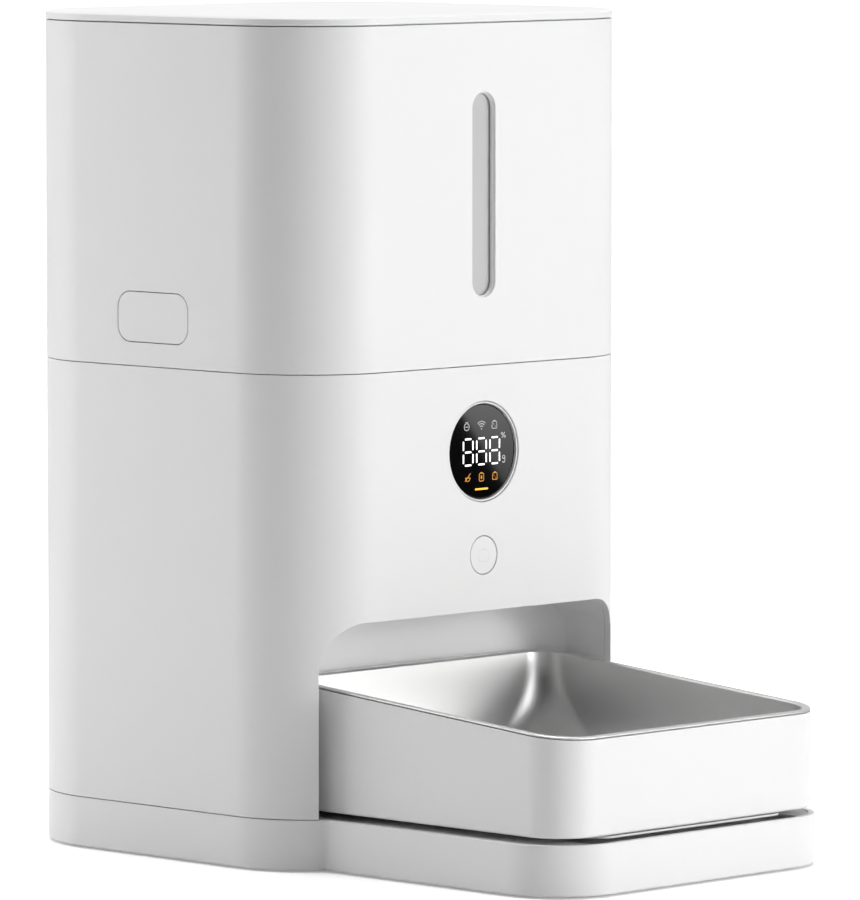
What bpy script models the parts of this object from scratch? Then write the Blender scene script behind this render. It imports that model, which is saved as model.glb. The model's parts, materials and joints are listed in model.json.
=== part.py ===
"""Automatic pet feeder: a weighing base with a lift-out bowl under a tall lift-off hopper.

Metres, +Z up. The front faces -Y. The origin is on the ground under the middle of the
whole feeder. Pieces are made in place, and each moving group hangs on an empty that
stands on its joint's axis.
"""

import math

import bmesh
import bpy
from mathutils import Matrix, Vector

MM = 0.001

# Overall casing
BODY_WIDTH = 190 * MM
BODY_DEPTH = 170 * MM
FRONT_RADIUS = 39 * MM
BACK_RADIUS = 46 * MM
APRON_LENGTH = 115 * MM  # how far the base reaches out under the bowl
APRON_WIDTH = 157 * MM
APRON_RADIUS = 28 * MM
BASE_TOP = 20 * MM
MID_SEAM = 188 * MM
HOPPER_HEIGHT = 130.5 * MM
LID_BAND = 2.5 * MM
LID_CROWN = 1.2 * MM
CROWN_INSET = 4.6 * MM
FOOT_PROUD = 0.8 * MM

# Walls and clearances
SHELL_WALL = 2.5 * MM
PAN_FLOOR = 2.0 * MM
INNER_WALL = 2.0 * MM
SEAM = 0.3 * MM  # visible gap between two casings
FIT = 0.3 * MM  # gap between a piece and the one that it sits in or on

# Alcove and bowl
MOUTH_HALF = 80.4 * MM
MOUTH_TOP = 93.8 * MM
MOUTH_RADIUS = 17.5 * MM
ALCOVE_DEPTH = 42 * MM
TRAY_WIDTH = 147.9 * MM
TRAY_SETBACK = 3.6 * MM  # from the apron's front edge
TRAY_BACK_GAP = 3.7 * MM  # to the alcove's back wall
TRAY_FRONT_RADIUS = 18 * MM
TRAY_BACK_RADIUS = 14 * MM
TRAY_BOTTOM = 22.1 * MM
TRAY_FRONT_RIM = 58.3 * MM
RIM_SLOPE = 0.081
TRAY_WALL = 2.2 * MM
BOWL_SHEET = 0.8 * MM
BOWL_FLOOR = 30 * MM

# Weighing base
RECESS_HALF = 57 * MM  # sunken part of the apron, under the bowl
RECESS_DEPTH = 2.2 * MM
RECESS_FLOOR = 1.2 * MM
RECESS_RADIUS = 3 * MM
PLATE_HALF = 52 * MM
PLATE_THICKNESS = 0.9 * MM
PLATE_RADIUS = 8 * MM
LOAD_CELL_LENGTH = 70 * MM
LOAD_CELL_WIDTH = 12 * MM
LOAD_CELL_HEIGHT = 7.4 * MM
FOOT_RADIUS = 8 * MM

# Hopper
BIN_GAP = 1.0 * MM  # between the hopper's casing and the food bin
BIN_WALL = 2.0 * MM
BIN_RIM_DROP = 4.5 * MM
FUNNEL_RISE = 34 * MM  # from the mid seam to where the bin's walls turn upright
WINDOW_WIDTH = 12.5 * MM
WINDOW_HEIGHT = 78.3 * MM
WINDOW_BOTTOM_RISE = 26 * MM  # from the mid seam
LENS_LIP = 3.5 * MM
LENS_THICKNESS = 2.6 * MM
RELEASE_LENGTH = 38 * MM
RELEASE_HEIGHT = 19 * MM
RELEASE_RADIUS = 6.3 * MM
RELEASE_Y = 83.2 * MM  # from the body's front face
RELEASE_RISE = 18.8 * MM  # from the mid seam to the button's middle
RELEASE_TRAVEL = 3 * MM

# Metering drum and rotor
DRUM_RADIUS = 52 * MM
DRUM_DROP = 36 * MM  # drum floor's underside below the mid seam
WELL_GAP = 2.5 * MM
OUTLET_HALF = 20 * MM
OUTLET_NEAR = 25 * MM  # from the drum's axis
OUTLET_FAR = 47.5 * MM
HUB_RADIUS = 9 * MM
SLEEVE_RADIUS = 12 * MM
VANE_COUNT = 6
VANE_THICKNESS = 2.4 * MM
DOG_RADIUS = 6 * MM
SHAFT_RADIUS = 3 * MM

# Gear train: 48 tooth output, two 42/14 idlers, 14 tooth motor pinion
MODULE = 0.8 * MM
OUTPUT_TEETH = 48
WHEEL_TEETH = 42
PINION_TEETH = 14
BACKLASH = 0.3 * MM
PRESSURE_ANGLE = math.radians(20)
ADDENDUM = 0.8  # in modules
DEDENDUM = 1.05  # in modules
IDLER_B_DIRECTION = math.radians(60)
IDLER_A_DIRECTION = math.radians(150)
MOTOR_DIRECTION = math.radians(200)
PIN_RADIUS = 2 * MM
PIN_GAP = 0.15 * MM
GEARBOX_DROP = 74 * MM  # gearbox underside below the mid seam
MOTOR_RADIUS = 12 * MM
MOTOR_LENGTH = 27.5 * MM

# Front panel
DISPLAY_DROP = 33 * MM  # display's middle below the mid seam
DISPLAY_HOLE = 19.35 * MM
LENS_RADIUS = 18.1 * MM
BUTTON_DROP = 72.7 * MM
BUTTON_HOLE = 7.55 * MM
BUTTON_RADIUS = 7.25 * MM
BUTTON_TRAVEL = 1 * MM

# Battery bay for three large round cells
BAY_WIDTH = 102 * MM
BAY_LENGTH = 66 * MM
BAY_HEIGHT = 34 * MM
BAY_BACK_GAP = 4 * MM  # bay wall to the casing's inner face

CORNER_STEPS = 6
DRUM_STEPS = 36
VENT_COUNT = 6

# Places worked out from the sizes above
FRONT_Y = (APRON_LENGTH - BODY_DEPTH) / 2
BACK_Y = FRONT_Y + BODY_DEPTH
APRON_Y = FRONT_Y - APRON_LENGTH
DRUM_Y = FRONT_Y + BODY_DEPTH / 2
ALCOVE_Y = FRONT_Y + ALCOVE_DEPTH
TRAY_FRONT_Y = APRON_Y + TRAY_SETBACK
TRAY_BACK_Y = ALCOVE_Y - TRAY_BACK_GAP
PAN_INNER = FOOT_PROUD + PAN_FLOOR
SIDE_X = BODY_WIDTH / 2
LID_SEAM = MID_SEAM + HOPPER_HEIGHT
WELL_RADIUS = DRUM_RADIUS + INNER_WALL + WELL_GAP
DECK_TOP = MID_SEAM - 1.5 * MM
DRUM_FLOOR = MID_SEAM - DRUM_DROP
WELL_FLOOR = DRUM_FLOOR - 2 * MM
FUNNEL_TOP = MID_SEAM + FUNNEL_RISE
BIN_INSET = SHELL_WALL + BIN_GAP
BIN_RIM = LID_SEAM - BIN_RIM_DROP
RELEASE_Z = MID_SEAM + RELEASE_RISE
WINDOW_BOTTOM = MID_SEAM + WINDOW_BOTTOM_RISE
DISPLAY_Z = MID_SEAM - DISPLAY_DROP
BUTTON_Z = MID_SEAM - BUTTON_DROP
GEARBOX_FLOOR = MID_SEAM - GEARBOX_DROP - 2 * MM


# ---------------------------------------------------------------- materials


def material(name, colour, roughness, metallic=0.0):
    made = bpy.data.materials.new(name)
    made.use_nodes = True
    shader = made.node_tree.nodes["Principled BSDF"]
    shader.inputs["Base Color"].default_value = (*colour, 1.0)
    shader.inputs["Roughness"].default_value = roughness
    shader.inputs["Metallic"].default_value = metallic
    made.diffuse_color = (*colour, 1.0)
    return made


def make_materials():
    return {
        "white": material("white_casing", (0.87, 0.87, 0.87), 0.42),
        "inner": material("inner_plastic", (0.72, 0.73, 0.74), 0.5),
        "dark": material("dark_plastic", (0.05, 0.05, 0.055), 0.45),
        "smoke": material("window_smoke", (0.55, 0.56, 0.57), 0.35),
        "glass": material("display_black", (0.01, 0.01, 0.012), 0.06),
        "steel": material("bowl_steel", (0.62, 0.62, 0.61), 0.28, 1.0),
        "rotor": material("soft_blade", (0.35, 0.42, 0.47), 0.6),
        "gear": material("gear_acetal", (0.83, 0.81, 0.74), 0.4),
        "metal": material("machined_steel", (0.6, 0.6, 0.62), 0.3, 1.0),
        "rubber": material("rubber", (0.08, 0.08, 0.08), 0.8),
        "gasket": material("gasket_silicone", (0.75, 0.77, 0.78), 0.55),
        "board": material("board_green", (0.03, 0.17, 0.08), 0.5),
        "brass": material("brass", (0.72, 0.52, 0.22), 0.3, 1.0),
    }


# ---------------------------------------------------------------- outlines


def arc(centre, radius, start, end, steps):
    """Points on an arc, both ends included; angles in degrees."""
    points = []
    for i in range(steps + 1):
        angle = math.radians(start + (end - start) * i / steps)
        points.append((centre[0] + radius * math.cos(angle), centre[1] + radius * math.sin(angle)))
    return points


def circle(centre, radius, steps=24):
    return arc(centre, radius, 0, 360 * (steps - 1) / steps, steps - 1)


def rounded(low, high, low_radius, high_radius=None, steps=CORNER_STEPS):
    """Anticlockwise rectangle; the two corners at low v and the two at high v have own radii."""
    high_radius = low_radius if high_radius is None else high_radius
    (x0, y0), (x1, y1) = low, high
    return (
        arc((x1 - low_radius, y0 + low_radius), low_radius, -90, 0, steps)
        + arc((x1 - high_radius, y1 - high_radius), high_radius, 0, 90, steps)
        + arc((x0 + high_radius, y1 - high_radius), high_radius, 90, 180, steps)
        + arc((x0 + low_radius, y0 + low_radius), low_radius, 180, 270, steps)
    )


def body_outline(inset=0.0):
    return rounded(
        (-SIDE_X + inset, FRONT_Y + inset),
        (SIDE_X - inset, BACK_Y - inset),
        FRONT_RADIUS - inset,
        BACK_RADIUS - inset,
    )


def apron_half_outline(inset):
    """Right half of the base: the apron's front corner, then the body's clipped front corner."""
    half = APRON_WIDTH / 2 - inset
    radius = APRON_RADIUS - inset
    corner = (SIDE_X - FRONT_RADIUS, FRONT_Y + FRONT_RADIUS)
    clipped = FRONT_RADIUS - inset
    start = math.degrees(math.asin((half - corner[0]) / clipped)) - 90
    return (
        arc((half - radius, APRON_Y + inset + radius), radius, -90, 0, CORNER_STEPS),
        arc(corner, clipped, start, 0, CORNER_STEPS // 2),
    )


def base_outline(inset=0.0):
    front, side = apron_half_outline(inset)
    radius = BACK_RADIUS - inset
    back = arc((SIDE_X - BACK_RADIUS, BACK_Y - BACK_RADIUS), radius, 0, 90, CORNER_STEPS)
    right = front + side + back
    return right + [(-x, y) for x, y in reversed(right)]


def tray_outline(inset=0.0):
    return rounded(
        (-TRAY_WIDTH / 2 + inset, TRAY_FRONT_Y + inset),
        (TRAY_WIDTH / 2 - inset, TRAY_BACK_Y - inset),
        max(TRAY_FRONT_RADIUS - inset, 6 * MM),
        max(TRAY_BACK_RADIUS - inset, 6 * MM),
    )


# ---------------------------------------------------------------- solids


def finish_mesh(name, bm, finish):
    bmesh.ops.recalc_face_normals(bm, faces=bm.faces)
    mesh = bpy.data.meshes.new(name)
    bm.to_mesh(mesh)
    bm.free()
    mesh.shade_smooth()
    mesh.set_sharp_from_angle(angle=math.radians(30))
    made = bpy.data.objects.new(name, mesh)
    bpy.context.scene.collection.objects.link(made)
    if finish:
        mesh.materials.append(finish)
    return made


def loft(name, rings, finish=None, closed=False):
    """Skin through rings of equally many points; the ends are capped, or joined when closed."""
    bm = bmesh.new()
    loops = [[bm.verts.new(point) for point in ring] for ring in rings]
    pairs = list(zip(loops, loops[1:]))
    if closed:
        pairs.append((loops[-1], loops[0]))
    for lower, upper in pairs:
        count = len(lower)
        for i in range(count):
            j = (i + 1) % count
            bm.faces.new((lower[i], lower[j], upper[j], upper[i]))
    if not closed:
        bm.faces.new(loops[0])
        bm.faces.new(loops[-1])
    return finish_mesh(name, bm, finish)


def at(outline, z):
    return [(x, y, z) for x, y in outline]


def stack(name, levels, finish=None, closed=False):
    """Loft through (outline, z) levels."""
    return loft(name, [at(outline, z) for outline, z in levels], finish, closed)


def prism(name, outline, low, high, finish=None, along="Z"):
    """Outline pushed along an axis: (x, y) along Z, (x, z) along Y, or (y, z) along X."""
    place = {
        "Z": lambda u, v, w: (u, v, w),
        "Y": lambda u, v, w: (u, w, v),
        "X": lambda u, v, w: (w, u, v),
    }[along]
    rings = [[place(u, v, w) for u, v in outline] for w in (low, high)]
    return loft(name, rings, finish)


def box(name, low, high, finish=None):
    outline = [(low[0], low[1]), (high[0], low[1]), (high[0], high[1]), (low[0], high[1])]
    return prism(name, outline, low[2], high[2], finish)


def rod(name, centre, radius, low, high, finish=None, along="Z", steps=24):
    return prism(name, circle(centre, radius, steps), low, high, finish, along)


def tube(name, outer, inner, low, high, finish=None):
    """Upright wall between two outlines of equally many points."""
    return stack(name, [(outer, low), (outer, high), (inner, high), (inner, low)], finish, closed=True)


def boolean(target, operation, others):
    for other in others:
        other.hide_render = True
        other.display_type = "WIRE"
        step = target.modifiers.new(operation.lower(), "BOOLEAN")
        step.operation = operation
        step.object = other
    return target


def cut(target, *others):
    return boolean(target, "DIFFERENCE", others)


def join(target, *others):
    return boolean(target, "UNION", others)


def coil(name, centre, radius, wire, start, end, turns, along, finish):
    """Helical spring between two places on its axis."""
    curve = bpy.data.curves.new(name, "CURVE")
    curve.dimensions = "3D"
    curve.bevel_depth = wire
    curve.bevel_resolution = 0
    curve.use_fill_caps = True
    steps = 8 * turns
    spline = curve.splines.new("POLY")
    spline.points.add(steps)
    for i, point in enumerate(spline.points):
        angle = math.tau * turns * i / steps
        u = centre[0] + radius * math.cos(angle)
        v = centre[1] + radius * math.sin(angle)
        w = start + (end - start) * i / steps
        point.co = (w, u, v, 1) if along == "X" else (u, w, v, 1)
    curve.materials.append(finish)
    made = bpy.data.objects.new(name, curve)
    bpy.context.scene.collection.objects.link(made)
    return made


# ---------------------------------------------------------------- gears


def involute(angle):
    return math.tan(angle) - angle


def gear_outline(centre, teeth, phase, radii):
    """Tooth by tooth outline; radii are the circles, root to tip, where a flank has points."""
    pitch_radius = MODULE * teeth / 2
    base_radius = pitch_radius * math.cos(PRESSURE_ANGLE)
    half_at_pitch = (math.pi * MODULE / 2 - BACKLASH / 2) / (2 * pitch_radius)
    points = []
    for tooth in range(teeth):
        middle = phase + math.tau * tooth / teeth
        flank = []
        for radius in radii:
            angle = math.acos(min(1.0, base_radius / radius))
            half = half_at_pitch + involute(PRESSURE_ANGLE) - involute(angle)
            flank.append((radius, half))
        for radius, half in flank:
            points.append((radius, middle - half))
        for radius, half in reversed(flank):
            points.append((radius, middle + half))
    return [(centre[0] + r * math.cos(a), centre[1] + r * math.sin(a)) for r, a in points]


def gear_radii(teeth, with_pitch):
    pitch_radius = MODULE * teeth / 2
    root = pitch_radius - DEDENDUM * MODULE
    tip = pitch_radius + ADDENDUM * MODULE
    return (root, pitch_radius, tip) if with_pitch else (root, tip)


def tip_radius(teeth):
    return gear_radii(teeth, False)[-1]


def meshing_phase(direction, teeth, phase, next_teeth):
    """Phase of the next gear, lying in a direction, so that its gap meets this gear's tooth."""
    passed = (direction - phase) * teeth / math.tau
    return direction + math.pi - (0.5 - passed) * math.tau / next_teeth


def step_from(centre, direction, teeth, next_teeth):
    distance = MODULE * (teeth + next_teeth) / 2
    return (
        centre[0] + distance * math.cos(direction),
        centre[1] + distance * math.sin(direction),
    )


OUTPUT_AXIS = (0.0, DRUM_Y)
IDLER_B_AXIS = step_from(OUTPUT_AXIS, IDLER_B_DIRECTION, OUTPUT_TEETH, PINION_TEETH)
IDLER_A_AXIS = step_from(IDLER_B_AXIS, IDLER_A_DIRECTION, WHEEL_TEETH, PINION_TEETH)
MOTOR_AXIS = step_from(IDLER_A_AXIS, MOTOR_DIRECTION, WHEEL_TEETH, PINION_TEETH)

# Layers of the train, measured up from the gearbox's inner floor
MOTOR_LAYER = (GEARBOX_FLOOR + 2.9 * MM, GEARBOX_FLOOR + 8 * MM)
IDLER_A_WHEEL = (GEARBOX_FLOOR + 3.2 * MM, GEARBOX_FLOOR + 7.2 * MM)
IDLER_A_PINION = (GEARBOX_FLOOR + 6.5 * MM, GEARBOX_FLOOR + 15.5 * MM)
IDLER_B_WHEEL = (GEARBOX_FLOOR + 10 * MM, GEARBOX_FLOOR + 15 * MM)
IDLER_B_PINION = (GEARBOX_FLOOR + 14.3 * MM, GEARBOX_FLOOR + 24.5 * MM)
OUTPUT_LAYER = (GEARBOX_FLOOR + 18 * MM, GEARBOX_FLOOR + 24 * MM)
GEARBOX_RIM = GEARBOX_FLOOR + 26.5 * MM
COVER_BOTTOM = GEARBOX_RIM + FIT
COVER_TOP = COVER_BOTTOM + INNER_WALL


# ---------------------------------------------------------------- lid


def make_lid(finishes, lid, cap):
    under = LID_SEAM + SEAM
    recess = under + LID_BAND - 1.1 * MM
    stack(
        "lid_cover",
        [
            (body_outline(CROWN_INSET), LID_SEAM + LID_BAND + LID_CROWN),
            (body_outline(CROWN_INSET * 0.3), LID_SEAM + LID_BAND + LID_CROWN * 0.68),
            (body_outline(), LID_SEAM + LID_BAND),
            (body_outline(), under),
            (body_outline(SHELL_WALL), under),
            (body_outline(SHELL_WALL), recess),
        ],
        finishes["white"],
    )
    plate_top = recess - FIT
    plate_bottom = plate_top - 2.4 * MM
    plug_inset = BIN_INSET + BIN_WALL + 2.5 * MM
    plug_bottom = plate_bottom - 10.3 * MM
    stack(
        "lid_liner",
        [
            (body_outline(SHELL_WALL + 0.4 * MM), plate_top),
            (body_outline(SHELL_WALL + 0.4 * MM), plate_bottom),
            (body_outline(plug_inset), plate_bottom),
            (body_outline(plug_inset), plug_bottom),
            (body_outline(plug_inset + INNER_WALL), plug_bottom),
            (body_outline(plug_inset + INNER_WALL), plate_bottom),
        ],
        finishes["inner"],
    )
    tube(
        "lid_gasket",
        body_outline(BIN_INSET + BIN_WALL + 0.4 * MM),
        body_outline(plug_inset - FIT),
        plug_bottom + 2.5 * MM,
        plug_bottom + 6 * MM,
        finishes["gasket"],
    )
    middle = (0.0, DRUM_Y)
    box_top = plate_bottom - FIT
    box_bottom = box_top - 18 * MM
    outer = 32 * MM
    inner = outer - INNER_WALL
    steps = 24
    stack(
        "desiccant_box",
        [
            (circle(middle, outer, steps), box_top),
            (circle(middle, outer, steps), box_bottom),
            (circle(middle, inner, steps), box_bottom),
            (circle(middle, inner, steps), box_top - INNER_WALL),
        ],
        finishes["inner"],
    )
    cap_top = box_bottom - FIT
    spigot = inner - FIT
    cap_solid = stack(
        "desiccant_cap",
        [
            (circle(middle, outer + 1.5 * MM, steps), cap_top - 2.5 * MM),
            (circle(middle, outer + 1.5 * MM, steps), cap_top),
            (circle(middle, spigot, steps), cap_top),
            (circle(middle, spigot, steps), cap_top + 4.3 * MM),
            (circle(middle, spigot - INNER_WALL, steps), cap_top + 4.3 * MM),
            (circle(middle, spigot - INNER_WALL, steps), cap_top - 0.5 * MM),
        ],
        finishes["inner"],
    )
    for i in range(VENT_COUNT):
        angle = math.tau * i / VENT_COUNT
        place = (17 * MM * math.cos(angle), DRUM_Y + 17 * MM * math.sin(angle))
        low = cap_top - 3.5 * MM
        high = cap_top + 0.5 * MM
        cut(cap_solid, rod(f"vent_cutter_{i}", place, 3.2 * MM, low, high, steps=8))
    adopt(lid, "lid_cover", "lid_liner", "lid_gasket", "desiccant_box")
    adopt(cap, "desiccant_cap")


# ---------------------------------------------------------------- hopper


def make_hopper(finishes, hopper):
    bottom = MID_SEAM + SEAM / 2
    floor_top = bottom + SHELL_WALL
    shell = stack(
        "hopper_shell",
        [
            (body_outline(), bottom),
            (body_outline(), LID_SEAM - SEAM / 2),
            (body_outline(SHELL_WALL), LID_SEAM - SEAM / 2),
            (body_outline(SHELL_WALL), floor_top),
        ],
        finishes["white"],
    )
    middle = (0.0, DRUM_Y)
    drum_outer = DRUM_RADIUS + INNER_WALL
    slot_low = WINDOW_BOTTOM
    slot_high = WINDOW_BOTTOM + WINDOW_HEIGHT
    slot = rounded((-WINDOW_WIDTH / 2, slot_low), (WINDOW_WIDTH / 2, slot_high), WINDOW_WIDTH / 2.002)
    cut(
        shell,
        rod("drum_hole", middle, drum_outer + 0.5 * MM, bottom - MM, floor_top + MM, steps=DRUM_STEPS),
        prism("window_slot", slot, FRONT_Y - MM, FRONT_Y + SHELL_WALL + 0.5 * MM, along="Y"),
    )
    for side in (-1, 1):
        cut_release_openings(shell, side, bottom, floor_top)
        join(shell, spring_post(side, floor_top))

    collar = circle_like_body(middle, drum_outer)
    throat = circle_like_body(middle, DRUM_RADIUS)
    collar_low = floor_top + 2.4 * MM
    collar_high = collar_low + 4 * MM
    hopper_bin = stack(
        "hopper_bin",
        [
            (collar, collar_low),
            (collar, collar_high),
            (body_outline(BIN_INSET), FUNNEL_TOP),
            (body_outline(BIN_INSET), BIN_RIM),
            (body_outline(BIN_INSET + BIN_WALL), BIN_RIM),
            (body_outline(BIN_INSET + BIN_WALL), FUNNEL_TOP + MM),
            (throat, collar_high + MM),
            (throat, collar_low),
        ],
        finishes["inner"],
        closed=True,
    )
    lens_half = WINDOW_WIDTH / 2 + LENS_LIP
    lens_low = slot_low - LENS_LIP
    lens_high = slot_high + LENS_LIP
    lens_front = FRONT_Y + SHELL_WALL + FIT
    cut(
        hopper_bin,
        box(
            "lens_opening",
            (-lens_half - FIT, lens_front, lens_low - FIT),
            (lens_half + FIT, lens_front + LENS_THICKNESS + FIT, lens_high + FIT),
        ),
    )
    prism(
        "window_lens",
        rounded((-lens_half, lens_low), (lens_half, lens_high), 3 * MM, steps=4),
        lens_front,
        lens_front + LENS_THICKNESS,
        finishes["smoke"],
        along="Y",
    )

    flange_low = floor_top + FIT
    flange_high = flange_low + 1.7 * MM
    drum = stack(
        "metering_drum",
        [
            (circle(middle, drum_outer, DRUM_STEPS), DRUM_FLOOR),
            (circle(middle, drum_outer, DRUM_STEPS), flange_low),
            (circle(middle, drum_outer + 7 * MM, DRUM_STEPS), flange_low),
            (circle(middle, drum_outer + 7 * MM, DRUM_STEPS), flange_high),
            (circle(middle, DRUM_RADIUS, DRUM_STEPS), flange_high),
            (circle(middle, DRUM_RADIUS, DRUM_STEPS), DRUM_FLOOR + INNER_WALL),
        ],
        finishes["inner"],
    )
    through = (DRUM_FLOOR - MM, DRUM_FLOOR + INNER_WALL + MM)
    cut(
        drum,
        outlet_cutter("drum_outlet", *through),
        rod("drum_shaft_hole", middle, DOG_RADIUS + 2.5 * MM, *through, steps=24),
    )
    baffle_low = DRUM_FLOOR + 35 * MM
    reach = DRUM_RADIUS - 0.5 * MM
    sector = arc(middle, reach, -122, -58, 10) + arc(middle, 14 * MM, -58, -122, 5)
    prism("outlet_baffle", sector, baffle_low, baffle_low + INNER_WALL, finishes["dark"])
    adopt(hopper, "hopper_shell", "hopper_bin", "window_lens", "metering_drum", "outlet_baffle")


def circle_like_body(centre, radius):
    """Circle with the same number of points as the body's outline, each facing its own."""
    points = []
    for start in (-90, 0, 90, 180):
        points += arc(centre, radius, start + 4, start + 86, CORNER_STEPS)
    return points


def outlet_cutter(name, low, high):
    near = DRUM_Y - OUTLET_NEAR
    far = DRUM_Y - OUTLET_FAR
    return box(name, (-OUTLET_HALF, far, low), (OUTLET_HALF, near, high))


# ---------------------------------------------------------------- hopper release


HOOK_WIDTH = 10 * MM
LEG_X = 87 * MM - 95 * MM  # leg's outer face from the casing's side
LEG_THICKNESS = 2.5 * MM
NOSE = 1.7 * MM
POST_X = -19 * MM  # spring post's inner face from the casing's side
FLANGE_LIP = 2.2 * MM


def release_middle():
    return FRONT_Y + RELEASE_Y


def sided(side, from_side):
    """X of a place measured inwards (negative) from the casing's side."""
    return side * (SIDE_X + from_side)


def side_box(name, side, outer, inner, ys, zs, finish=None):
    xs = sorted((sided(side, outer), sided(side, inner)))
    return box(name, (xs[0], ys[0], zs[0]), (xs[1], ys[1], zs[1]), finish)


def release_outline(grow):
    half = (RELEASE_LENGTH / 2 + grow, RELEASE_HEIGHT / 2 + grow)
    y = release_middle()
    low = (y - half[0], RELEASE_Z - half[1])
    high = (y + half[0], RELEASE_Z + half[1])
    return rounded(low, high, RELEASE_RADIUS + grow, steps=5)


def hook_slot_span(gap):
    half = HOOK_WIDTH / 2 + gap
    return (release_middle() - half, release_middle() + half)


def cut_release_openings(shell, side, bottom, floor_top):
    word = "left" if side < 0 else "right"
    xs = sorted((sided(side, MM), sided(side, -SHELL_WALL - 0.2 * MM)))
    hole = prism(f"release_hole_{word}", release_outline(FIT), *xs, along="X")
    slot_outer = LEG_X + 0.4 * MM
    slot_inner = LEG_X - LEG_THICKNESS - RELEASE_TRAVEL - 0.7 * MM
    slot = side_box(
        f"hook_slot_{word}",
        side,
        slot_outer,
        slot_inner,
        hook_slot_span(0.6 * MM),
        (bottom - MM, floor_top + MM),
    )
    cut(shell, hole, slot)


def spring_post(side, floor_top):
    word = "left" if side < 0 else "right"
    y = release_middle()
    return side_box(
        f"spring_post_{word}",
        side,
        POST_X + 2 * MM,
        POST_X,
        (y - 8 * MM, y + 8 * MM),
        (floor_top - MM, RELEASE_Z + 1.5 * MM),
    )


def make_release(finishes, side, latch):
    word = "left" if side < 0 else "right"
    flange_outer = -SHELL_WALL - FIT
    flange_inner = flange_outer - 1.8 * MM
    face_xs = sorted((sided(side, 0.0), sided(side, flange_inner + 0.6 * MM)))
    button = prism(
        f"latch_button_{word}", release_outline(0.0), *face_xs, finishes["white"], along="X"
    )
    flange_xs = sorted((sided(side, flange_outer), sided(side, flange_inner)))
    join(button, prism(f"release_flange_{word}", release_outline(FLANGE_LIP), *flange_xs, along="X"))

    span = hook_slot_span(0.0)
    hook_low = DECK_TOP - 11 * MM
    leg_inner = LEG_X - LEG_THICKNESS
    arm_low = RELEASE_Z - 7 * MM
    hook = side_box(
        f"latch_hook_{word}",
        side,
        LEG_X,
        leg_inner,
        span,
        (hook_low, arm_low + 5 * MM),
        finishes["dark"],
    )
    arm = side_box(
        f"hook_arm_{word}",
        side,
        flange_inner - FIT,
        leg_inner + 0.8 * MM,
        (span[0] + 0.5 * MM, span[1] - 0.5 * MM),
        (arm_low, arm_low + 4 * MM),
    )
    nose = side_box(
        f"hook_nose_{word}",
        side,
        LEG_X + NOSE,
        leg_inner + 0.8 * MM,
        (span[0] + 0.5 * MM, span[1] - 0.5 * MM),
        (hook_low + 0.5 * MM, hook_low + 4 * MM),
    )
    join(hook, arm, nose)
    coil(
        f"latch_spring_{word}",
        (release_middle(), arm_low + 2 * MM),
        2.6 * MM,
        0.35 * MM,
        sided(side, leg_inner - 0.8 * MM),
        sided(side, POST_X + 2.8 * MM),
        3,
        "X",
        finishes["metal"],
    )
    adopt(latch, f"latch_button_{word}", f"latch_hook_{word}", f"latch_spring_{word}")


# ---------------------------------------------------------------- rotor and its drive


def make_rotor(finishes, rotor):
    middle = (0.0, DRUM_Y)
    low = DRUM_FLOOR + INNER_WALL + 0.8 * MM
    vane_top = DRUM_FLOOR + 34 * MM
    hub_top = vane_top + 4 * MM
    hub = rod("rotor_hub", middle, HUB_RADIUS, low, hub_top, finishes["dark"], steps=24)
    cut(hub, rod("dog_socket", middle, DOG_RADIUS + 0.5 * MM, low - MM, low + 7 * MM, steps=6))

    bore = HUB_RADIUS + FIT
    wheel = tube(
        "paddle_wheel",
        circle(middle, SLEEVE_RADIUS, 24),
        circle(middle, bore, 24),
        low,
        vane_top,
        finishes["rotor"],
    )
    reach = DRUM_RADIUS - 0.8 * MM
    for i in range(VANE_COUNT):
        angle = math.tau * (i + 0.5) / VANE_COUNT
        vane = box(
            f"vane_{i}",
            (SLEEVE_RADIUS - MM, -VANE_THICKNESS / 2, low + 0.2 * MM),
            (reach, VANE_THICKNESS / 2, vane_top - 0.4 * MM),
        )
        vane.location = (middle[0], middle[1], 0)
        vane.rotation_euler = (0, 0, angle)
        join(wheel, vane)

    arm_low = hub_top + FIT
    arm_reach = DRUM_RADIUS - 7 * MM
    arm = rod("agitator_arm", middle, HUB_RADIUS, arm_low, arm_low + 6 * MM, finishes["rotor"], steps=20)
    bar = box(
        "agitator_bar",
        (-arm_reach, DRUM_Y - 2.5 * MM, arm_low + MM),
        (arm_reach, DRUM_Y + 2.5 * MM, arm_low + 4.5 * MM),
    )
    join(arm, bar)
    for side in (-1, 1):
        place = (side * (arm_reach - 4 * MM), DRUM_Y)
        word = "left" if side < 0 else "right"
        finger = rod(f"finger_{word}", place, 2 * MM, arm_low + 3 * MM, arm_low + 18 * MM, steps=10)
        join(arm, finger)
    adopt(rotor, "rotor_hub", "paddle_wheel", "agitator_arm")


def idler(name, axis, wheel_phase, wheel_layer, pinion_phase, pinion_layer, finish):
    made = prism(
        name,
        gear_outline(axis, WHEEL_TEETH, wheel_phase, gear_radii(WHEEL_TEETH, False)),
        *wheel_layer,
        finish,
    )
    pinion = prism(
        f"{name}_pinion",
        gear_outline(axis, PINION_TEETH, pinion_phase, gear_radii(PINION_TEETH, True)),
        *pinion_layer,
    )
    low = min(wheel_layer[0], pinion_layer[0]) - MM
    high = max(wheel_layer[1], pinion_layer[1]) + MM
    join(made, pinion)
    return cut(made, rod(f"{name}_bore", axis, PIN_RADIUS + PIN_GAP, low, high, steps=16))


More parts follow.
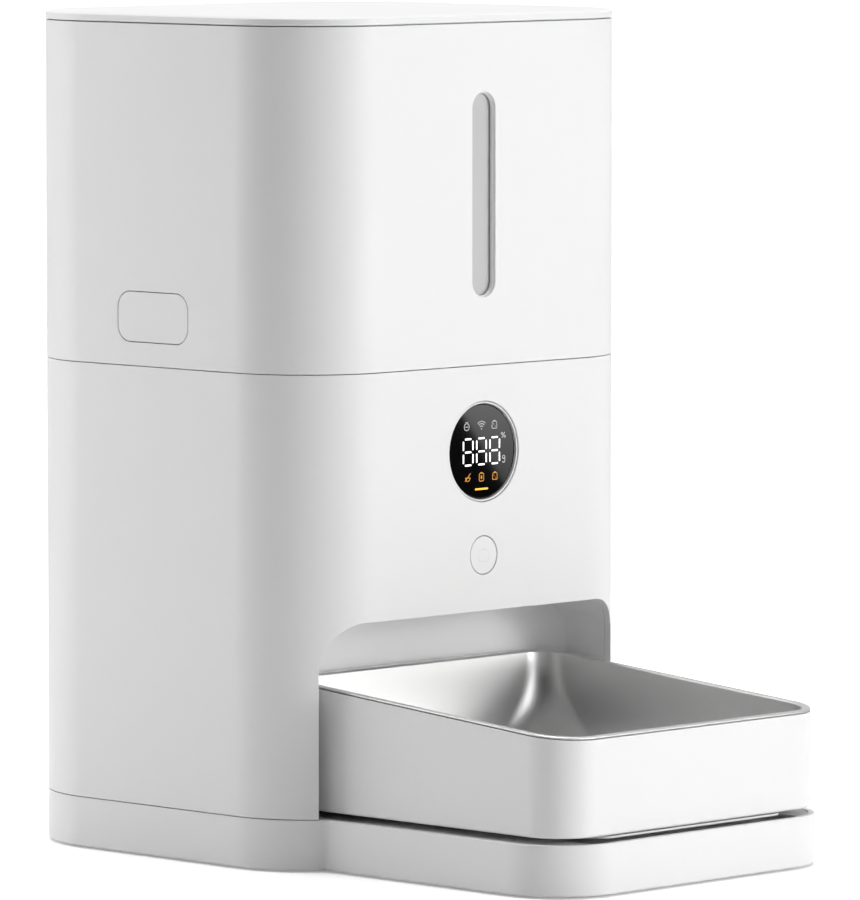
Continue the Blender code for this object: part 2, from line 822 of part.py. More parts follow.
def make_gear_train(finishes, drive, idler_b_group, idler_a_group, motor_group):
    shaft_top = DRUM_FLOOR + 1.5 * MM
    dog_low = WELL_FLOOR + 0.6 * MM
    gear = prism(
        "output_gear",
        gear_outline(OUTPUT_AXIS, OUTPUT_TEETH, 0.0, gear_radii(OUTPUT_TEETH, False)),
        *OUTPUT_LAYER,
        finishes["gear"],
    )
    shaft_low = GEARBOX_FLOOR + 2.3 * MM
    join(gear, rod("output_shaft", OUTPUT_AXIS, SHAFT_RADIUS, shaft_low, shaft_top, steps=20))
    dog_top = DRUM_FLOOR + INNER_WALL + 6.5 * MM
    dog = rod("drive_dog", OUTPUT_AXIS, DOG_RADIUS, dog_low, dog_top, finishes["metal"], steps=6)
    bore_top = shaft_top + FIT
    cut(dog, rod("dog_bore", OUTPUT_AXIS, SHAFT_RADIUS + FIT, dog_low - MM, bore_top, steps=20))

    pinion_b = meshing_phase(IDLER_B_DIRECTION, OUTPUT_TEETH, 0.0, PINION_TEETH)
    idler(
        "idler_b", IDLER_B_AXIS, 0.0, IDLER_B_WHEEL, pinion_b, IDLER_B_PINION, finishes["gear"]
    )
    pinion_a = meshing_phase(IDLER_A_DIRECTION, WHEEL_TEETH, 0.0, PINION_TEETH)
    idler(
        "idler_a", IDLER_A_AXIS, 0.0, IDLER_A_WHEEL, pinion_a, IDLER_A_PINION, finishes["gear"]
    )
    phase = meshing_phase(MOTOR_DIRECTION, WHEEL_TEETH, 0.0, PINION_TEETH)
    pinion = prism(
        "motor_pinion",
        gear_outline(MOTOR_AXIS, PINION_TEETH, phase, gear_radii(PINION_TEETH, True)),
        *MOTOR_LAYER,
        finishes["brass"],
    )
    shaft_span = (GEARBOX_FLOOR - 6 * MM, MOTOR_LAYER[1] + 1.5 * MM)
    join(pinion, rod("motor_shaft", MOTOR_AXIS, 1.5 * MM, *shaft_span, steps=16))
    adopt(drive, "output_gear", "drive_dog")
    adopt(idler_b_group, "idler_b")
    adopt(idler_a_group, "idler_a")
    adopt(motor_group, "motor_pinion")


def make_gearbox(finishes):
    reach = tip_radius(WHEEL_TEETH) + MM
    inner_low = (MOTOR_AXIS[0] - 10 * MM, OUTPUT_AXIS[1] - tip_radius(OUTPUT_TEETH) - MM)
    inner_high = (IDLER_B_AXIS[0] + reach, IDLER_A_AXIS[1] + reach)
    outer_low = (inner_low[0] - INNER_WALL, inner_low[1] - INNER_WALL)
    outer_high = (inner_high[0] + INNER_WALL, inner_high[1] + INNER_WALL)
    outer = rounded(outer_low, outer_high, 7 * MM, steps=4)
    inner = rounded(inner_low, inner_high, 5 * MM, steps=4)
    floor_top = GEARBOX_FLOOR + INNER_WALL
    housing = stack(
        "gearbox_base",
        [
            (outer, GEARBOX_FLOOR),
            (outer, GEARBOX_RIM),
            (inner, GEARBOX_RIM),
            (inner, floor_top),
        ],
        finishes["dark"],
    )
    pin_low = GEARBOX_FLOOR + MM
    pin_hole = PIN_RADIUS + PIN_GAP
    for name, axis in (("a", IDLER_A_AXIS), ("b", IDLER_B_AXIS)):
        cut(housing, rod(f"pin_seat_{name}", axis, pin_hole, pin_low - FIT, floor_top + MM, steps=16))
        rod(f"idler_pin_{name}", axis, PIN_RADIUS, pin_low, COVER_TOP - 0.5 * MM, finishes["metal"], steps=16)
    cut(
        housing,
        rod("motor_shaft_hole", MOTOR_AXIS, 3 * MM, GEARBOX_FLOOR - MM, floor_top + MM, steps=16),
    )

    cover = prism("gearbox_cover", outer, COVER_BOTTOM, COVER_TOP, finishes["dark"])
    boss_top = WELL_FLOOR - INNER_WALL - FIT
    bush_outer = 5.5 * MM
    join(cover, rod("bush_boss", OUTPUT_AXIS, bush_outer + 2.5 * MM, COVER_TOP - MM, boss_top, steps=24))
    for number, place in enumerate(gearbox_posts(), 1):
        join(cover, rod(f"cover_post_{number}", place, 3.5 * MM, COVER_TOP - MM, boss_top, steps=16))
    cut(cover, rod("bush_bore", OUTPUT_AXIS, bush_outer + FIT, COVER_BOTTOM - MM, boss_top + MM, steps=24))
    for name, axis in (("a", IDLER_A_AXIS), ("b", IDLER_B_AXIS)):
        cut(cover, rod(f"pin_hole_{name}", axis, pin_hole, COVER_BOTTOM - MM, COVER_TOP + MM, steps=16))
    for number, place in enumerate(gearbox_posts(), 1):
        cut(cover, rod(f"post_hole_{number}", place, 1.7 * MM, COVER_TOP + 0.5 * MM, boss_top + MM, steps=12))
        screw(
            f"gearbox_screw_{number}",
            place,
            (COVER_TOP + MM, WELL_FLOOR + FIT),
            1.4 * MM,
            (WELL_FLOOR + FIT, WELL_FLOOR + 1.5 * MM),
            3.2 * MM,
            finishes["metal"],
        )
    tube(
        "output_bush",
        circle(OUTPUT_AXIS, bush_outer, 24),
        circle(OUTPUT_AXIS, SHAFT_RADIUS + PIN_GAP, 24),
        COVER_BOTTOM + FIT,
        boss_top - FIT,
        finishes["brass"],
    )
    can_top = GEARBOX_FLOOR - FIT
    can = rod("motor_can", MOTOR_AXIS, MOTOR_RADIUS, can_top - MOTOR_LENGTH, can_top, finishes["metal"], steps=28)
    cut(can, rod("motor_bore", MOTOR_AXIS, 1.9 * MM, can_top - 7 * MM, can_top + MM, steps=16))


def gearbox_posts():
    return (
        (27 * MM, DRUM_Y - 12.5 * MM),
        (-32 * MM, DRUM_Y + 4 * MM),
    )


def screw(name, place, shank_span, shank_radius, head_span, head_radius, finish):
    head_low, head_high = head_span
    low, high = shank_span
    levels = [
        (circle(place, shank_radius, 12), low),
        (circle(place, shank_radius, 12), high),
        (circle(place, head_radius, 12), head_low),
        (circle(place, head_radius, 12), head_high),
    ]
    if head_low < low:
        levels = [
            (circle(place, head_radius, 12), head_low),
            (circle(place, head_radius, 12), head_high),
            (circle(place, shank_radius, 12), low),
            (circle(place, shank_radius, 12), high),
        ]
    return stack(name, levels, finish)


# ---------------------------------------------------------------- body


def make_body(finishes):
    shell_low = BASE_TOP + SEAM / 2
    shell_high = MID_SEAM - SEAM / 2
    shell = tube(
        "body_shell",
        body_outline(),
        body_outline(SHELL_WALL),
        shell_low,
        shell_high,
        finishes["white"],
    )
    mouth = rounded(
        (-MOUTH_HALF, BASE_TOP - 10 * MM), (MOUTH_HALF, MOUTH_TOP), MM, MOUTH_RADIUS, steps=6
    )
    mouth_back = FRONT_Y + FRONT_RADIUS / 2 + 3 * MM
    front = (FRONT_Y - MM, FRONT_Y + SHELL_WALL + MM)
    jack_z = PAN_INNER + BAY_HEIGHT + 13 * MM
    cut(
        shell,
        prism("mouth", mouth, FRONT_Y - 20 * MM, mouth_back, along="Y"),
        rod("display_hole", (0, DISPLAY_Z), DISPLAY_HOLE, *front, along="Y", steps=32),
        rod("button_hole", (0, BUTTON_Z), BUTTON_HOLE, *front, along="Y", steps=28),
        rod("jack_hole", (0, jack_z), 4.6 * MM, BACK_Y - SHELL_WALL - MM, BACK_Y + MM, along="Y", steps=20),
    )

    jack_back = BACK_Y - SHELL_WALL - FIT
    jack = box(
        "power_jack",
        (-6 * MM, jack_back - 13 * MM, jack_z - 6 * MM),
        (6 * MM, jack_back, jack_z + 6 * MM),
        finishes["dark"],
    )
    nose = rod("jack_nose", (0, jack_z), 4.2 * MM, jack_back - MM, BACK_Y - 0.4 * MM, along="Y", steps=20)
    join(jack, nose)
    socket = rod("jack_socket", (0, jack_z), 2.8 * MM, jack_back - 9 * MM, BACK_Y + MM, along="Y", steps=20)
    cut(jack, socket)


def alcove_box(name, grow, front, finish=None):
    """Alcove's inner or outer form: upright sides, its roof and back edges rounded."""
    half = MOUTH_HALF + grow
    top = MOUTH_TOP + grow
    back = ALCOVE_Y + grow
    low = BASE_TOP + SEAM / 2 if grow else BASE_TOP - 8 * MM
    bm = bmesh.new()
    bmesh.ops.create_cube(bm, size=1)
    for vert in bm.verts:
        vert.co.x *= 2 * half
        vert.co.y = back if vert.co.y > 0 else front
        vert.co.z = top if vert.co.z > 0 else low
    edges = []
    for edge in bm.edges:
        a, b = (vert.co for vert in edge.verts)
        side = abs(a.x - b.x) < MM
        roof = side and a.z > top - MM and b.z > top - MM
        upright = side and a.y > back - MM and b.y > back - MM
        if roof or upright:
            edges.append(edge)
    bmesh.ops.bevel(
        bm,
        geom=edges,
        offset=MOUTH_RADIUS + grow,
        offset_type="OFFSET",
        affect="EDGES",
        segments=6,
        profile=0.5,
        material=-1,
    )
    return finish_mesh(name, bm, finish)


def make_alcove(finishes):
    liner = alcove_box("alcove_liner", INNER_WALL, FRONT_Y - 5 * MM, finishes["white"])
    inside = body_outline(SHELL_WALL + FIT)
    boolean(liner, "INTERSECT", [prism("liner_trim", inside, -10 * MM, MID_SEAM)])
    cut(liner, alcove_box("alcove_space", 0.0, FRONT_Y - 30 * MM))
    low, high = chute_mouth()
    cut(liner, box("spout_hole", (low[0], low[1], MOUTH_TOP - 5 * MM), (high[0], high[1], MOUTH_TOP + 9 * MM)))


CHUTE_HALF = OUTLET_HALF + MM
CHUTE_TOP_Y = (DRUM_Y - OUTLET_FAR - MM, DRUM_Y - OUTLET_NEAR + MM)
SPOUT_Y = (FRONT_Y + 16 * MM, FRONT_Y + 38 * MM)


def chute_mouth():
    return (-CHUTE_HALF, SPOUT_Y[0]), (CHUTE_HALF, SPOUT_Y[1])


def rectangle(half, ys, grow=0.0):
    return [
        (-half - grow, ys[0] - grow),
        (half + grow, ys[0] - grow),
        (half + grow, ys[1] + grow),
        (-half - grow, ys[1] + grow),
    ]


def make_chute(finishes):
    top = WELL_FLOOR - INNER_WALL - FIT
    bottom = MOUTH_TOP + INNER_WALL + FIT
    wall = 1.8 * MM
    stack(
        "food_chute",
        [
            (rectangle(CHUTE_HALF, SPOUT_Y, wall), bottom),
            (rectangle(CHUTE_HALF, SPOUT_Y, wall), bottom + 3 * MM),
            (rectangle(CHUTE_HALF, CHUTE_TOP_Y, wall), top - 2 * MM),
            (rectangle(CHUTE_HALF, CHUTE_TOP_Y, wall), top),
            (rectangle(CHUTE_HALF, CHUTE_TOP_Y), top),
            (rectangle(CHUTE_HALF, CHUTE_TOP_Y), top - 2 * MM),
            (rectangle(CHUTE_HALF, SPOUT_Y), bottom + 3 * MM),
            (rectangle(CHUTE_HALF, SPOUT_Y), bottom),
        ],
        finishes["inner"],
        closed=True,
    )
    middle_y = (SPOUT_Y[1] + CHUTE_TOP_Y[0]) / 2
    middle_z = (top + bottom) / 2
    face = CHUTE_HALF + wall + FIT
    board = box(
        "chute_sensor",
        (face, middle_y - 6 * MM, middle_z - 5 * MM),
        (face + 1.6 * MM, middle_y + 6 * MM, middle_z + 5 * MM),
        finishes["board"],
    )
    eye = rod(
        "sensor_eye", (middle_y, middle_z), 2.5 * MM, face + MM, face + 4 * MM, along="X", steps=12
    )
    join(board, eye)


def make_deck(finishes):
    middle = (0.0, DRUM_Y)
    low = DECK_TOP - SHELL_WALL
    deck = prism("dock_deck", body_outline(SHELL_WALL + FIT), low, DECK_TOP, finishes["inner"])
    outer = WELL_RADIUS + INNER_WALL
    join(deck, rod("drum_well", middle, outer, WELL_FLOOR - INNER_WALL, DECK_TOP - MM, steps=DRUM_STEPS))
    cut(deck, rod("well_space", middle, WELL_RADIUS, WELL_FLOOR, DECK_TOP + MM, steps=DRUM_STEPS))
    through = (WELL_FLOOR - INNER_WALL - MM, WELL_FLOOR + MM)
    cut(
        deck,
        outlet_cutter("well_outlet", *through),
        rod("well_shaft_hole", middle, DOG_RADIUS + 1.5 * MM, *through, steps=24),
    )
    for number, place in enumerate(gearbox_posts(), 1):
        cut(deck, rod(f"screw_hole_{number}", place, 1.7 * MM, *through, steps=12))
    for side in (-1, 1):
        word = "left" if side < 0 else "right"
        outer_x = LEG_X + NOSE + FIT
        inner_x = LEG_X - LEG_THICKNESS - RELEASE_TRAVEL - 0.7 * MM
        span = (low - MM, DECK_TOP + MM)
        cut(deck, side_box(f"keeper_slot_{word}", side, outer_x, inner_x, hook_slot_span(0.6 * MM), span))


# ---------------------------------------------------------------- front panel


def make_front_panel(finishes, feed):
    bezel_front = FRONT_Y + 0.4 * MM
    flange = FRONT_Y + SHELL_WALL + FIT
    lens_front = FRONT_Y + 1.3 * MM
    lens_back = FRONT_Y + 3.3 * MM
    board_front = FRONT_Y + 9 * MM
    rings = [
        (DISPLAY_HOLE - 0.3 * MM, bezel_front),
        (DISPLAY_HOLE - 0.3 * MM, flange),
        (DISPLAY_HOLE + 2.2 * MM, flange),
        (DISPLAY_HOLE + 2.2 * MM, flange + 1.4 * MM),
        (LENS_RADIUS + 0.3 * MM, flange + 1.4 * MM),
        (LENS_RADIUS + 0.3 * MM, bezel_front),
    ]
    turned = [[(x, y, z) for x, z in circle((0, DISPLAY_Z), radius, 32)] for radius, y in rings]
    loft("display_bezel", turned, finishes["white"], closed=True)
    rod("display_lens", (0, DISPLAY_Z), LENS_RADIUS, lens_front, lens_back, finishes["glass"], along="Y", steps=32)

    board = box(
        "display_board",
        (-24 * MM, board_front, BUTTON_Z - 11 * MM),
        (24 * MM, board_front + 1.6 * MM, DISPLAY_Z + 21 * MM),
        finishes["board"],
    )
    module = box(
        "digit_module",
        (-12 * MM, lens_back + FIT, DISPLAY_Z - 12 * MM),
        (12 * MM, board_front + 0.5 * MM, DISPLAY_Z + 12 * MM),
    )
    join(board, module)
    switch_front = board_front - 2.3 * MM
    switch = box(
        "button_switch",
        (-3 * MM, switch_front + 0.8 * MM, BUTTON_Z - 3 * MM),
        (3 * MM, board_front - FIT, BUTTON_Z + 3 * MM),
        finishes["dark"],
    )
    join(switch, rod("switch_plunger", (0, BUTTON_Z), 1.5 * MM, switch_front, switch_front + 1.2 * MM, along="Y", steps=12))

    cap_flange = FRONT_Y + SHELL_WALL + FIT
    button_rings = [
        (BUTTON_RADIUS, FRONT_Y + 0.1 * MM),
        (BUTTON_RADIUS, cap_flange),
        (BUTTON_RADIUS + 1.8 * MM, cap_flange),
        (BUTTON_RADIUS + 1.8 * MM, cap_flange + 1.2 * MM),
        (1.6 * MM, cap_flange + 1.2 * MM),
        (1.6 * MM, switch_front - BUTTON_TRAVEL - 0.2 * MM),
    ]
    turned = [[(x, y, z) for x, z in circle((0, BUTTON_Z), radius, 28)] for radius, y in button_rings]
    loft("feed_button", turned, finishes["white"])
    coil(
        "feed_button_spring",
        (0, BUTTON_Z),
        5.6 * MM,
        0.3 * MM,
        cap_flange + 1.9 * MM,
        board_front - 0.7 * MM,
        3,
        "Y",
        finishes["metal"],
    )
    adopt(feed, "feed_button", "feed_button_spring")


# ---------------------------------------------------------------- base


LOAD_CELL_SPAN = (APRON_Y + 45 * MM, APRON_Y + 45 * MM + LOAD_CELL_LENGTH)
LOAD_CELL_Z = (PAN_INNER + 1.8 * MM, PAN_INNER + 1.8 * MM + LOAD_CELL_HEIGHT)
APRON_DECK_Z = (BASE_TOP - 0.4 * MM - RECESS_DEPTH, BASE_TOP - 0.4 * MM)
PAD_TOP = TRAY_BOTTOM - FIT
PLATE_Z = (PAD_TOP - FIT - PLATE_THICKNESS, PAD_TOP - FIT)
PAD_BOTTOM = PLATE_Z[0] - 1.2 * MM


def foot_places():
    front = (APRON_WIDTH / 2 - 20 * MM, APRON_Y + 20 * MM)
    back = (SIDE_X - 32 * MM, BACK_Y - 32 * MM)
    return [(side * x, y) for x, y in (front, back) for side in (-1, 1)]


def bay_span():
    high = BACK_Y - SHELL_WALL - BAY_BACK_GAP
    return high - BAY_LENGTH, high


def load_cell_screws():
    return (0.0, LOAD_CELL_SPAN[0] + 8 * MM), (0.0, LOAD_CELL_SPAN[1] - 8 * MM)


def make_base(finishes, door_group):
    rim = BASE_TOP - SEAM / 2
    pan = stack(
        "base_pan",
        [
            (base_outline(), FOOT_PROUD),
            (base_outline(), rim),
            (base_outline(SHELL_WALL), rim),
            (base_outline(SHELL_WALL), PAN_INNER),
        ],
        finishes["white"],
    )
    rib = box(
        "cross_rib",
        (-SIDE_X + MM, ALCOVE_Y + 2.5 * MM, PAN_INNER - MM),
        (SIDE_X - MM, ALCOVE_Y + 4.5 * MM, rim - 1.5 * MM),
    )
    _, fixed = load_cell_screws()
    boss_top = LOAD_CELL_Z[0] - FIT
    boss = rod("cell_boss", fixed, 6 * MM, PAN_INNER - MM, boss_top, steps=20)
    join(pan, rib, boss)
    bay_low, bay_high = bay_span()
    hinge_gap = 0.8 * MM
    door_hole = box(
        "door_hole",
        (-BAY_WIDTH / 2, bay_low, FOOT_PROUD - MM),
        (BAY_WIDTH / 2, bay_high, PAN_INNER + MM),
    )
    cut(
        pan,
        door_hole,
        rod("cell_screw_head_hole", fixed, 3.8 * MM, FOOT_PROUD - MM, FOOT_PROUD + 1.6 * MM, steps=20),
        rod("cell_screw_hole", fixed, 2.2 * MM, FOOT_PROUD, boss_top + MM, steps=20),
    )
    for number, place in enumerate(foot_places(), 1):
        seat_top = FOOT_PROUD + 0.9 * MM
        cut(pan, rod(f"foot_seat_{number}", place, FOOT_RADIUS + FIT, FOOT_PROUD - MM, seat_top, steps=16))
        rod(f"rubber_foot_{number}", place, FOOT_RADIUS, 0.0, seat_top - FIT, finishes["rubber"], steps=16)

    door = box(
        "battery_door",
        (-BAY_WIDTH / 2 + FIT, bay_low + hinge_gap, FOOT_PROUD),
        (BAY_WIDTH / 2 - FIT, bay_high - FIT, PAN_INNER),
        finishes["white"],
    )
    finger_y = bay_high - 9 * MM
    cut(
        door,
        rod("finger_dip", (0, finger_y), 6 * MM, FOOT_PROUD - MM, FOOT_PROUD + MM, steps=24),
    )
    adopt(door_group, "battery_door")

    bay_top = PAN_INNER + FIT + BAY_HEIGHT
    outer = [(-BAY_WIDTH / 2 - 1.6 * MM, bay_low - 1.6 * MM), (BAY_WIDTH / 2 + 1.6 * MM, bay_high + 1.6 * MM)]
    inner = [(-BAY_WIDTH / 2, bay_low), (BAY_WIDTH / 2, bay_high)]
    stack(
        "battery_box",
        [
            (rounded(*outer, 2 * MM, steps=2), bay_top),
            (rounded(*outer, 2 * MM, steps=2), PAN_INNER + FIT),
            (rounded(*inner, MM, steps=2), PAN_INNER + FIT),
            (rounded(*inner, MM, steps=2), bay_top - 1.6 * MM),
        ],
        finishes["dark"],
    )
    contact_low = PAN_INNER + 8 * MM
    contact = box(
        "battery_contacts",
        (-BAY_WIDTH / 2 + 4 * MM, bay_high - 0.8 * MM, contact_low),
        (BAY_WIDTH / 2 - 4 * MM, bay_high - FIT, contact_low + 18 * MM),
        finishes["metal"],
    )
    for i in (-1, 0, 1):
        place = (i * BAY_WIDTH / 3, contact_low + 9 * MM)
        join(contact, rod(f"contact_dome_{i + 2}", place, 4 * MM, bay_high - 2.4 * MM, bay_high - 0.5 * MM, along="Y", steps=16))


def apron_plate(inset, back):
    """Front part of the base's outline, cut off straight at the back."""
    front, side = apron_half_outline(inset)
    right = front + [point for point in side if point[1] < back - MM]
    edge = min(SIDE_X - inset, max(x for x, _ in right))
    right.append((edge, back))
    return right + [(-x, y) for x, y in reversed(right)]


def make_load_cell(finishes):
    """Bar with two round flexures and a slit between them, bent by the bowl's weight."""
    half = LOAD_CELL_WIDTH / 2
    cell = box(
        "load_cell",
        (-half, LOAD_CELL_SPAN[0], LOAD_CELL_Z[0]),
        (half, LOAD_CELL_SPAN[1], LOAD_CELL_Z[1]),
        finishes["metal"],
    )
    middle_y = sum(LOAD_CELL_SPAN) / 2
    middle_z = sum(LOAD_CELL_Z) / 2
    wide = half + MM
    for i in (-1, 1):
        place = (middle_y + i * 7 * MM, middle_z)
        cut(cell, rod(f"flexure_{i + 2}", place, 2.6 * MM, -wide, wide, along="X", steps=16))
    slit = box(
        "flexure_slit",
        (-wide, middle_y - 7 * MM, middle_z - MM),
        (wide, middle_y + 7 * MM, middle_z + MM),
    )
    moving, fixed = load_cell_screws()
    through = (LOAD_CELL_Z[0] - MM, LOAD_CELL_Z[1] + MM)
    cut(
        cell,
        slit,
        rod("cell_hole_moving", moving, 2.2 * MM, *through, steps=16),
        rod("cell_hole_fixed", fixed, 2.2 * MM, *through, steps=16),
    )


def make_platform(finishes):
    """Thin plate in the apron's recess, on a post that stands on the load cell's free end."""
    moving, fixed = load_cell_screws()
    plate = prism(
        "weigh_platform",
        rounded((-PLATE_HALF, TRAY_FRONT_Y + 2 * MM), (PLATE_HALF, TRAY_BACK_Y - 8 * MM), PLATE_RADIUS),
        *PLATE_Z,
        finishes["white"],
    )
    pad = rounded(
        (-PLATE_HALF + 20 * MM, TRAY_FRONT_Y + 20 * MM),
        (PLATE_HALF - 20 * MM, TRAY_BACK_Y - 26 * MM),
        PLATE_RADIUS,
        steps=4,
    )
    join(
        plate,
        prism("platform_pad", pad, PAD_BOTTOM, PAD_TOP),
        rod("platform_post", moving, 6 * MM, LOAD_CELL_Z[1] + FIT, PAD_BOTTOM + MM, steps=20),
    )
    head_seat = PAD_TOP - 1.9 * MM
    cut(
        plate,
        rod("platform_hole", moving, 2.2 * MM, LOAD_CELL_Z[1] - MM, PAD_TOP + MM, steps=16),
        rod("head_recess", moving, 3.8 * MM, head_seat, PAD_TOP + MM, steps=16),
    )
    head_low = head_seat + FIT
    screw(
        "load_cell_screw_moving",
        moving,
        (LOAD_CELL_Z[0] + MM, head_low),
        1.9 * MM,
        (head_low, head_low + 1.3 * MM),
        3.5 * MM,
        finishes["metal"],
    )
    head_high = FOOT_PROUD + 1.6 * MM - FIT
    screw(
        "load_cell_screw_fixed",
        fixed,
        (head_high, LOAD_CELL_Z[1] - MM),
        1.9 * MM,
        (FOOT_PROUD + 0.1 * MM, head_high),
        3.5 * MM,
        finishes["metal"],
    )


def make_apron_deck(finishes):
    """Plate flush with the base's rim, sunk under the bowl to take the weighing plate."""
    ledge, rim = APRON_DECK_Z
    inset = SHELL_WALL + FIT
    plate = apron_plate(inset, ALCOVE_Y + 1.5 * MM)
    deck = prism("apron_deck", plate, ledge, rim, finishes["white"])
    wall = 0.8 * MM
    near = APRON_Y + inset + wall
    far = ALCOVE_Y - 6 * MM
    space = rounded((-RECESS_HALF, near), (RECESS_HALF, far), RECESS_RADIUS, steps=3)
    around = rounded(
        (-RECESS_HALF - wall, near - wall / 2),
        (RECESS_HALF + wall, far + wall),
        RECESS_RADIUS + wall,
        steps=3,
    )
    join(deck, prism("recess_block", around, ledge - RECESS_FLOOR, ledge + 0.2 * MM))
    moving, _ = load_cell_screws()
    cut(
        deck,
        prism("recess_space", space, ledge, rim + MM),
        rod("post_hole", moving, 7.5 * MM, ledge - RECESS_FLOOR - MM, ledge + MM, steps=24),
    )


def make_boards(finishes):
    x = WELL_RADIUS + INNER_WALL + 16 * MM
    y = DRUM_Y - 30 * MM
    low = PAN_INNER + BAY_HEIGHT + 20 * MM
    board = box("main_board", (x, y, low), (x + 1.6 * MM, y + 80 * MM, low + 75 * MM), finishes["board"])
    chips = (
        ("wireless_chip", (18, 34), (50, 68), 3),
        ("processor_chip", (40, 52), (28, 40), 2),
        ("harness_plug", (8, 26), (6, 12), 8),
        ("motor_plug", (40, 52), (6, 12), 8),
    )
    for name, ys, zs, height in chips:
        low_corner = (x - height * MM, y + ys[0] * MM, low + zs[0] * MM)
        high_corner = (x + 0.6 * MM, y + ys[1] * MM, low + zs[1] * MM)
        join(board, box(name, low_corner, high_corner))


# ---------------------------------------------------------------- bowl


def rim_plane(y):
    return TRAY_FRONT_RIM + RIM_SLOPE * (y - TRAY_FRONT_Y)


def sloped(outline, lift):
    """Ring that follows the rim's slope, raised by lift."""
    return [(x, y, rim_plane(y) + lift) for x, y in outline]


def eased(outline, share, floor):
    """Ring part of the way down from the sloping rim to a level floor."""
    return [(x, y, rim_plane(y) * (1 - share) + floor * share) for x, y in outline]


def make_bowl(finishes, tray_group, bowl_group):
    tray_floor = TRAY_BOTTOM + 2 * MM
    loft(
        "bowl_tray",
        [
            at(tray_outline(1.2 * MM), TRAY_BOTTOM),
            at(tray_outline(), TRAY_BOTTOM + 1.2 * MM),
            sloped(tray_outline(), 0.0),
            sloped(tray_outline(TRAY_WALL), 0.0),
            at(tray_outline(TRAY_WALL), tray_floor),
        ],
        finishes["white"],
    )
    basin = TRAY_WALL + 0.6 * MM
    under = FIT
    sheet = BOWL_SHEET
    outside = BOWL_FLOOR - sheet
    loft(
        "steel_bowl",
        [
            at(tray_outline(basin + 21 * MM), outside),
            at(tray_outline(basin + 12 * MM), outside + 1.5 * MM),
            eased(tray_outline(basin + 5 * MM), 0.78, outside),
            eased(tray_outline(basin + 1.5 * MM), 0.45, outside),
            sloped(tray_outline(basin), under),
            sloped(tray_outline(0.2 * MM), under),
            sloped(tray_outline(0.2 * MM), under + sheet),
            sloped(tray_outline(basin + sheet), under + sheet),
            eased(tray_outline(basin + 1.5 * MM + sheet), 0.45, BOWL_FLOOR),
            eased(tray_outline(basin + 5 * MM + sheet), 0.78, BOWL_FLOOR),
            at(tray_outline(basin + 12.4 * MM), BOWL_FLOOR + 1.5 * MM),
            at(tray_outline(basin + 21 * MM), BOWL_FLOOR),
        ],
        finishes["steel"],
    )
    adopt(tray_group, "bowl_tray")
    adopt(bowl_group, "steel_bowl")


# ---------------------------------------------------------------- moving groups


def joint_empty(name, place, parent=None):
    """Empty that stands on a joint's axis and carries the pieces that move with it."""
    empty = bpy.data.objects.new(name, None)
    empty.location = place
    empty.empty_display_size = 10 * MM
    bpy.context.scene.collection.objects.link(empty)
    if parent:
        empty.parent = parent
        empty.matrix_parent_inverse = Matrix.Translation(-parent.location)
    return empty


def adopt(group, *names):
    """Hang the named pieces on a group's empty without moving them."""
    for name in names:
        piece = bpy.data.objects[name]
        piece.parent = group
        piece.matrix_parent_inverse = Matrix.Translation(-group.location)


def main():
    for leftover in list(bpy.data.objects):
        bpy.data.objects.remove(leftover)
    finishes = make_materials()
    hopper = joint_empty("hopper_group", Vector((0, DRUM_Y, MID_SEAM)))
    lid = joint_empty("lid_group", Vector((0, DRUM_Y, LID_SEAM)), hopper)
    cap = joint_empty("desiccant_cap_group", Vector((0, DRUM_Y, LID_SEAM)), lid)
    rotor = joint_empty("rotor_group", Vector((0, DRUM_Y, DRUM_FLOOR)), hopper)
    drive = joint_empty("drive_group", Vector((*OUTPUT_AXIS, GEARBOX_FLOOR)))
    idler_b_group = joint_empty("idler_b_group", Vector((*IDLER_B_AXIS, GEARBOX_FLOOR)))
    idler_a_group = joint_empty("idler_a_group", Vector((*IDLER_A_AXIS, GEARBOX_FLOOR)))
    motor_group = joint_empty("motor_group", Vector((*MOTOR_AXIS, GEARBOX_FLOOR)))
    feed = joint_empty("feed_button_group", Vector((0, FRONT_Y, BUTTON_Z)))
    tray = joint_empty("tray_group", Vector((0, TRAY_FRONT_Y, TRAY_BOTTOM)))
    bowl = joint_empty("bowl_group", Vector((0, TRAY_FRONT_Y, BOWL_FLOOR)), tray)
    hinge_y = bay_span()[0] + 2.1 * MM
    door = joint_empty("battery_door_group", Vector((0, hinge_y, FOOT_PROUD + PAN_FLOOR / 2)))

    make_lid(finishes, lid, cap)
    make_hopper(finishes, hopper)
    for side in (-1, 1):
        word = "left" if side < 0 else "right"
        place = Vector((side * SIDE_X, release_middle(), RELEASE_Z))
        make_release(finishes, side, joint_empty(f"latch_{word}_group", place, hopper))
    make_rotor(finishes, rotor)
    make_gear_train(finishes, drive, idler_b_group, idler_a_group, motor_group)
    make_gearbox(finishes)
    make_body(finishes)
    make_alcove(finishes)
    make_chute(finishes)
    make_deck(finishes)
    make_front_panel(finishes, feed)
    make_base(finishes, door)
    make_load_cell(finishes)
    make_platform(finishes)
    make_apron_deck(finishes)
    make_boards(finishes)
    make_bowl(finishes, tray, bowl)


main()
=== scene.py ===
"""Looks of the automatic pet feeder: smooth casings, steel bowl, lit display and studio light."""

import json
import math

import bmesh
import bpy
from mathutils import Matrix, Vector

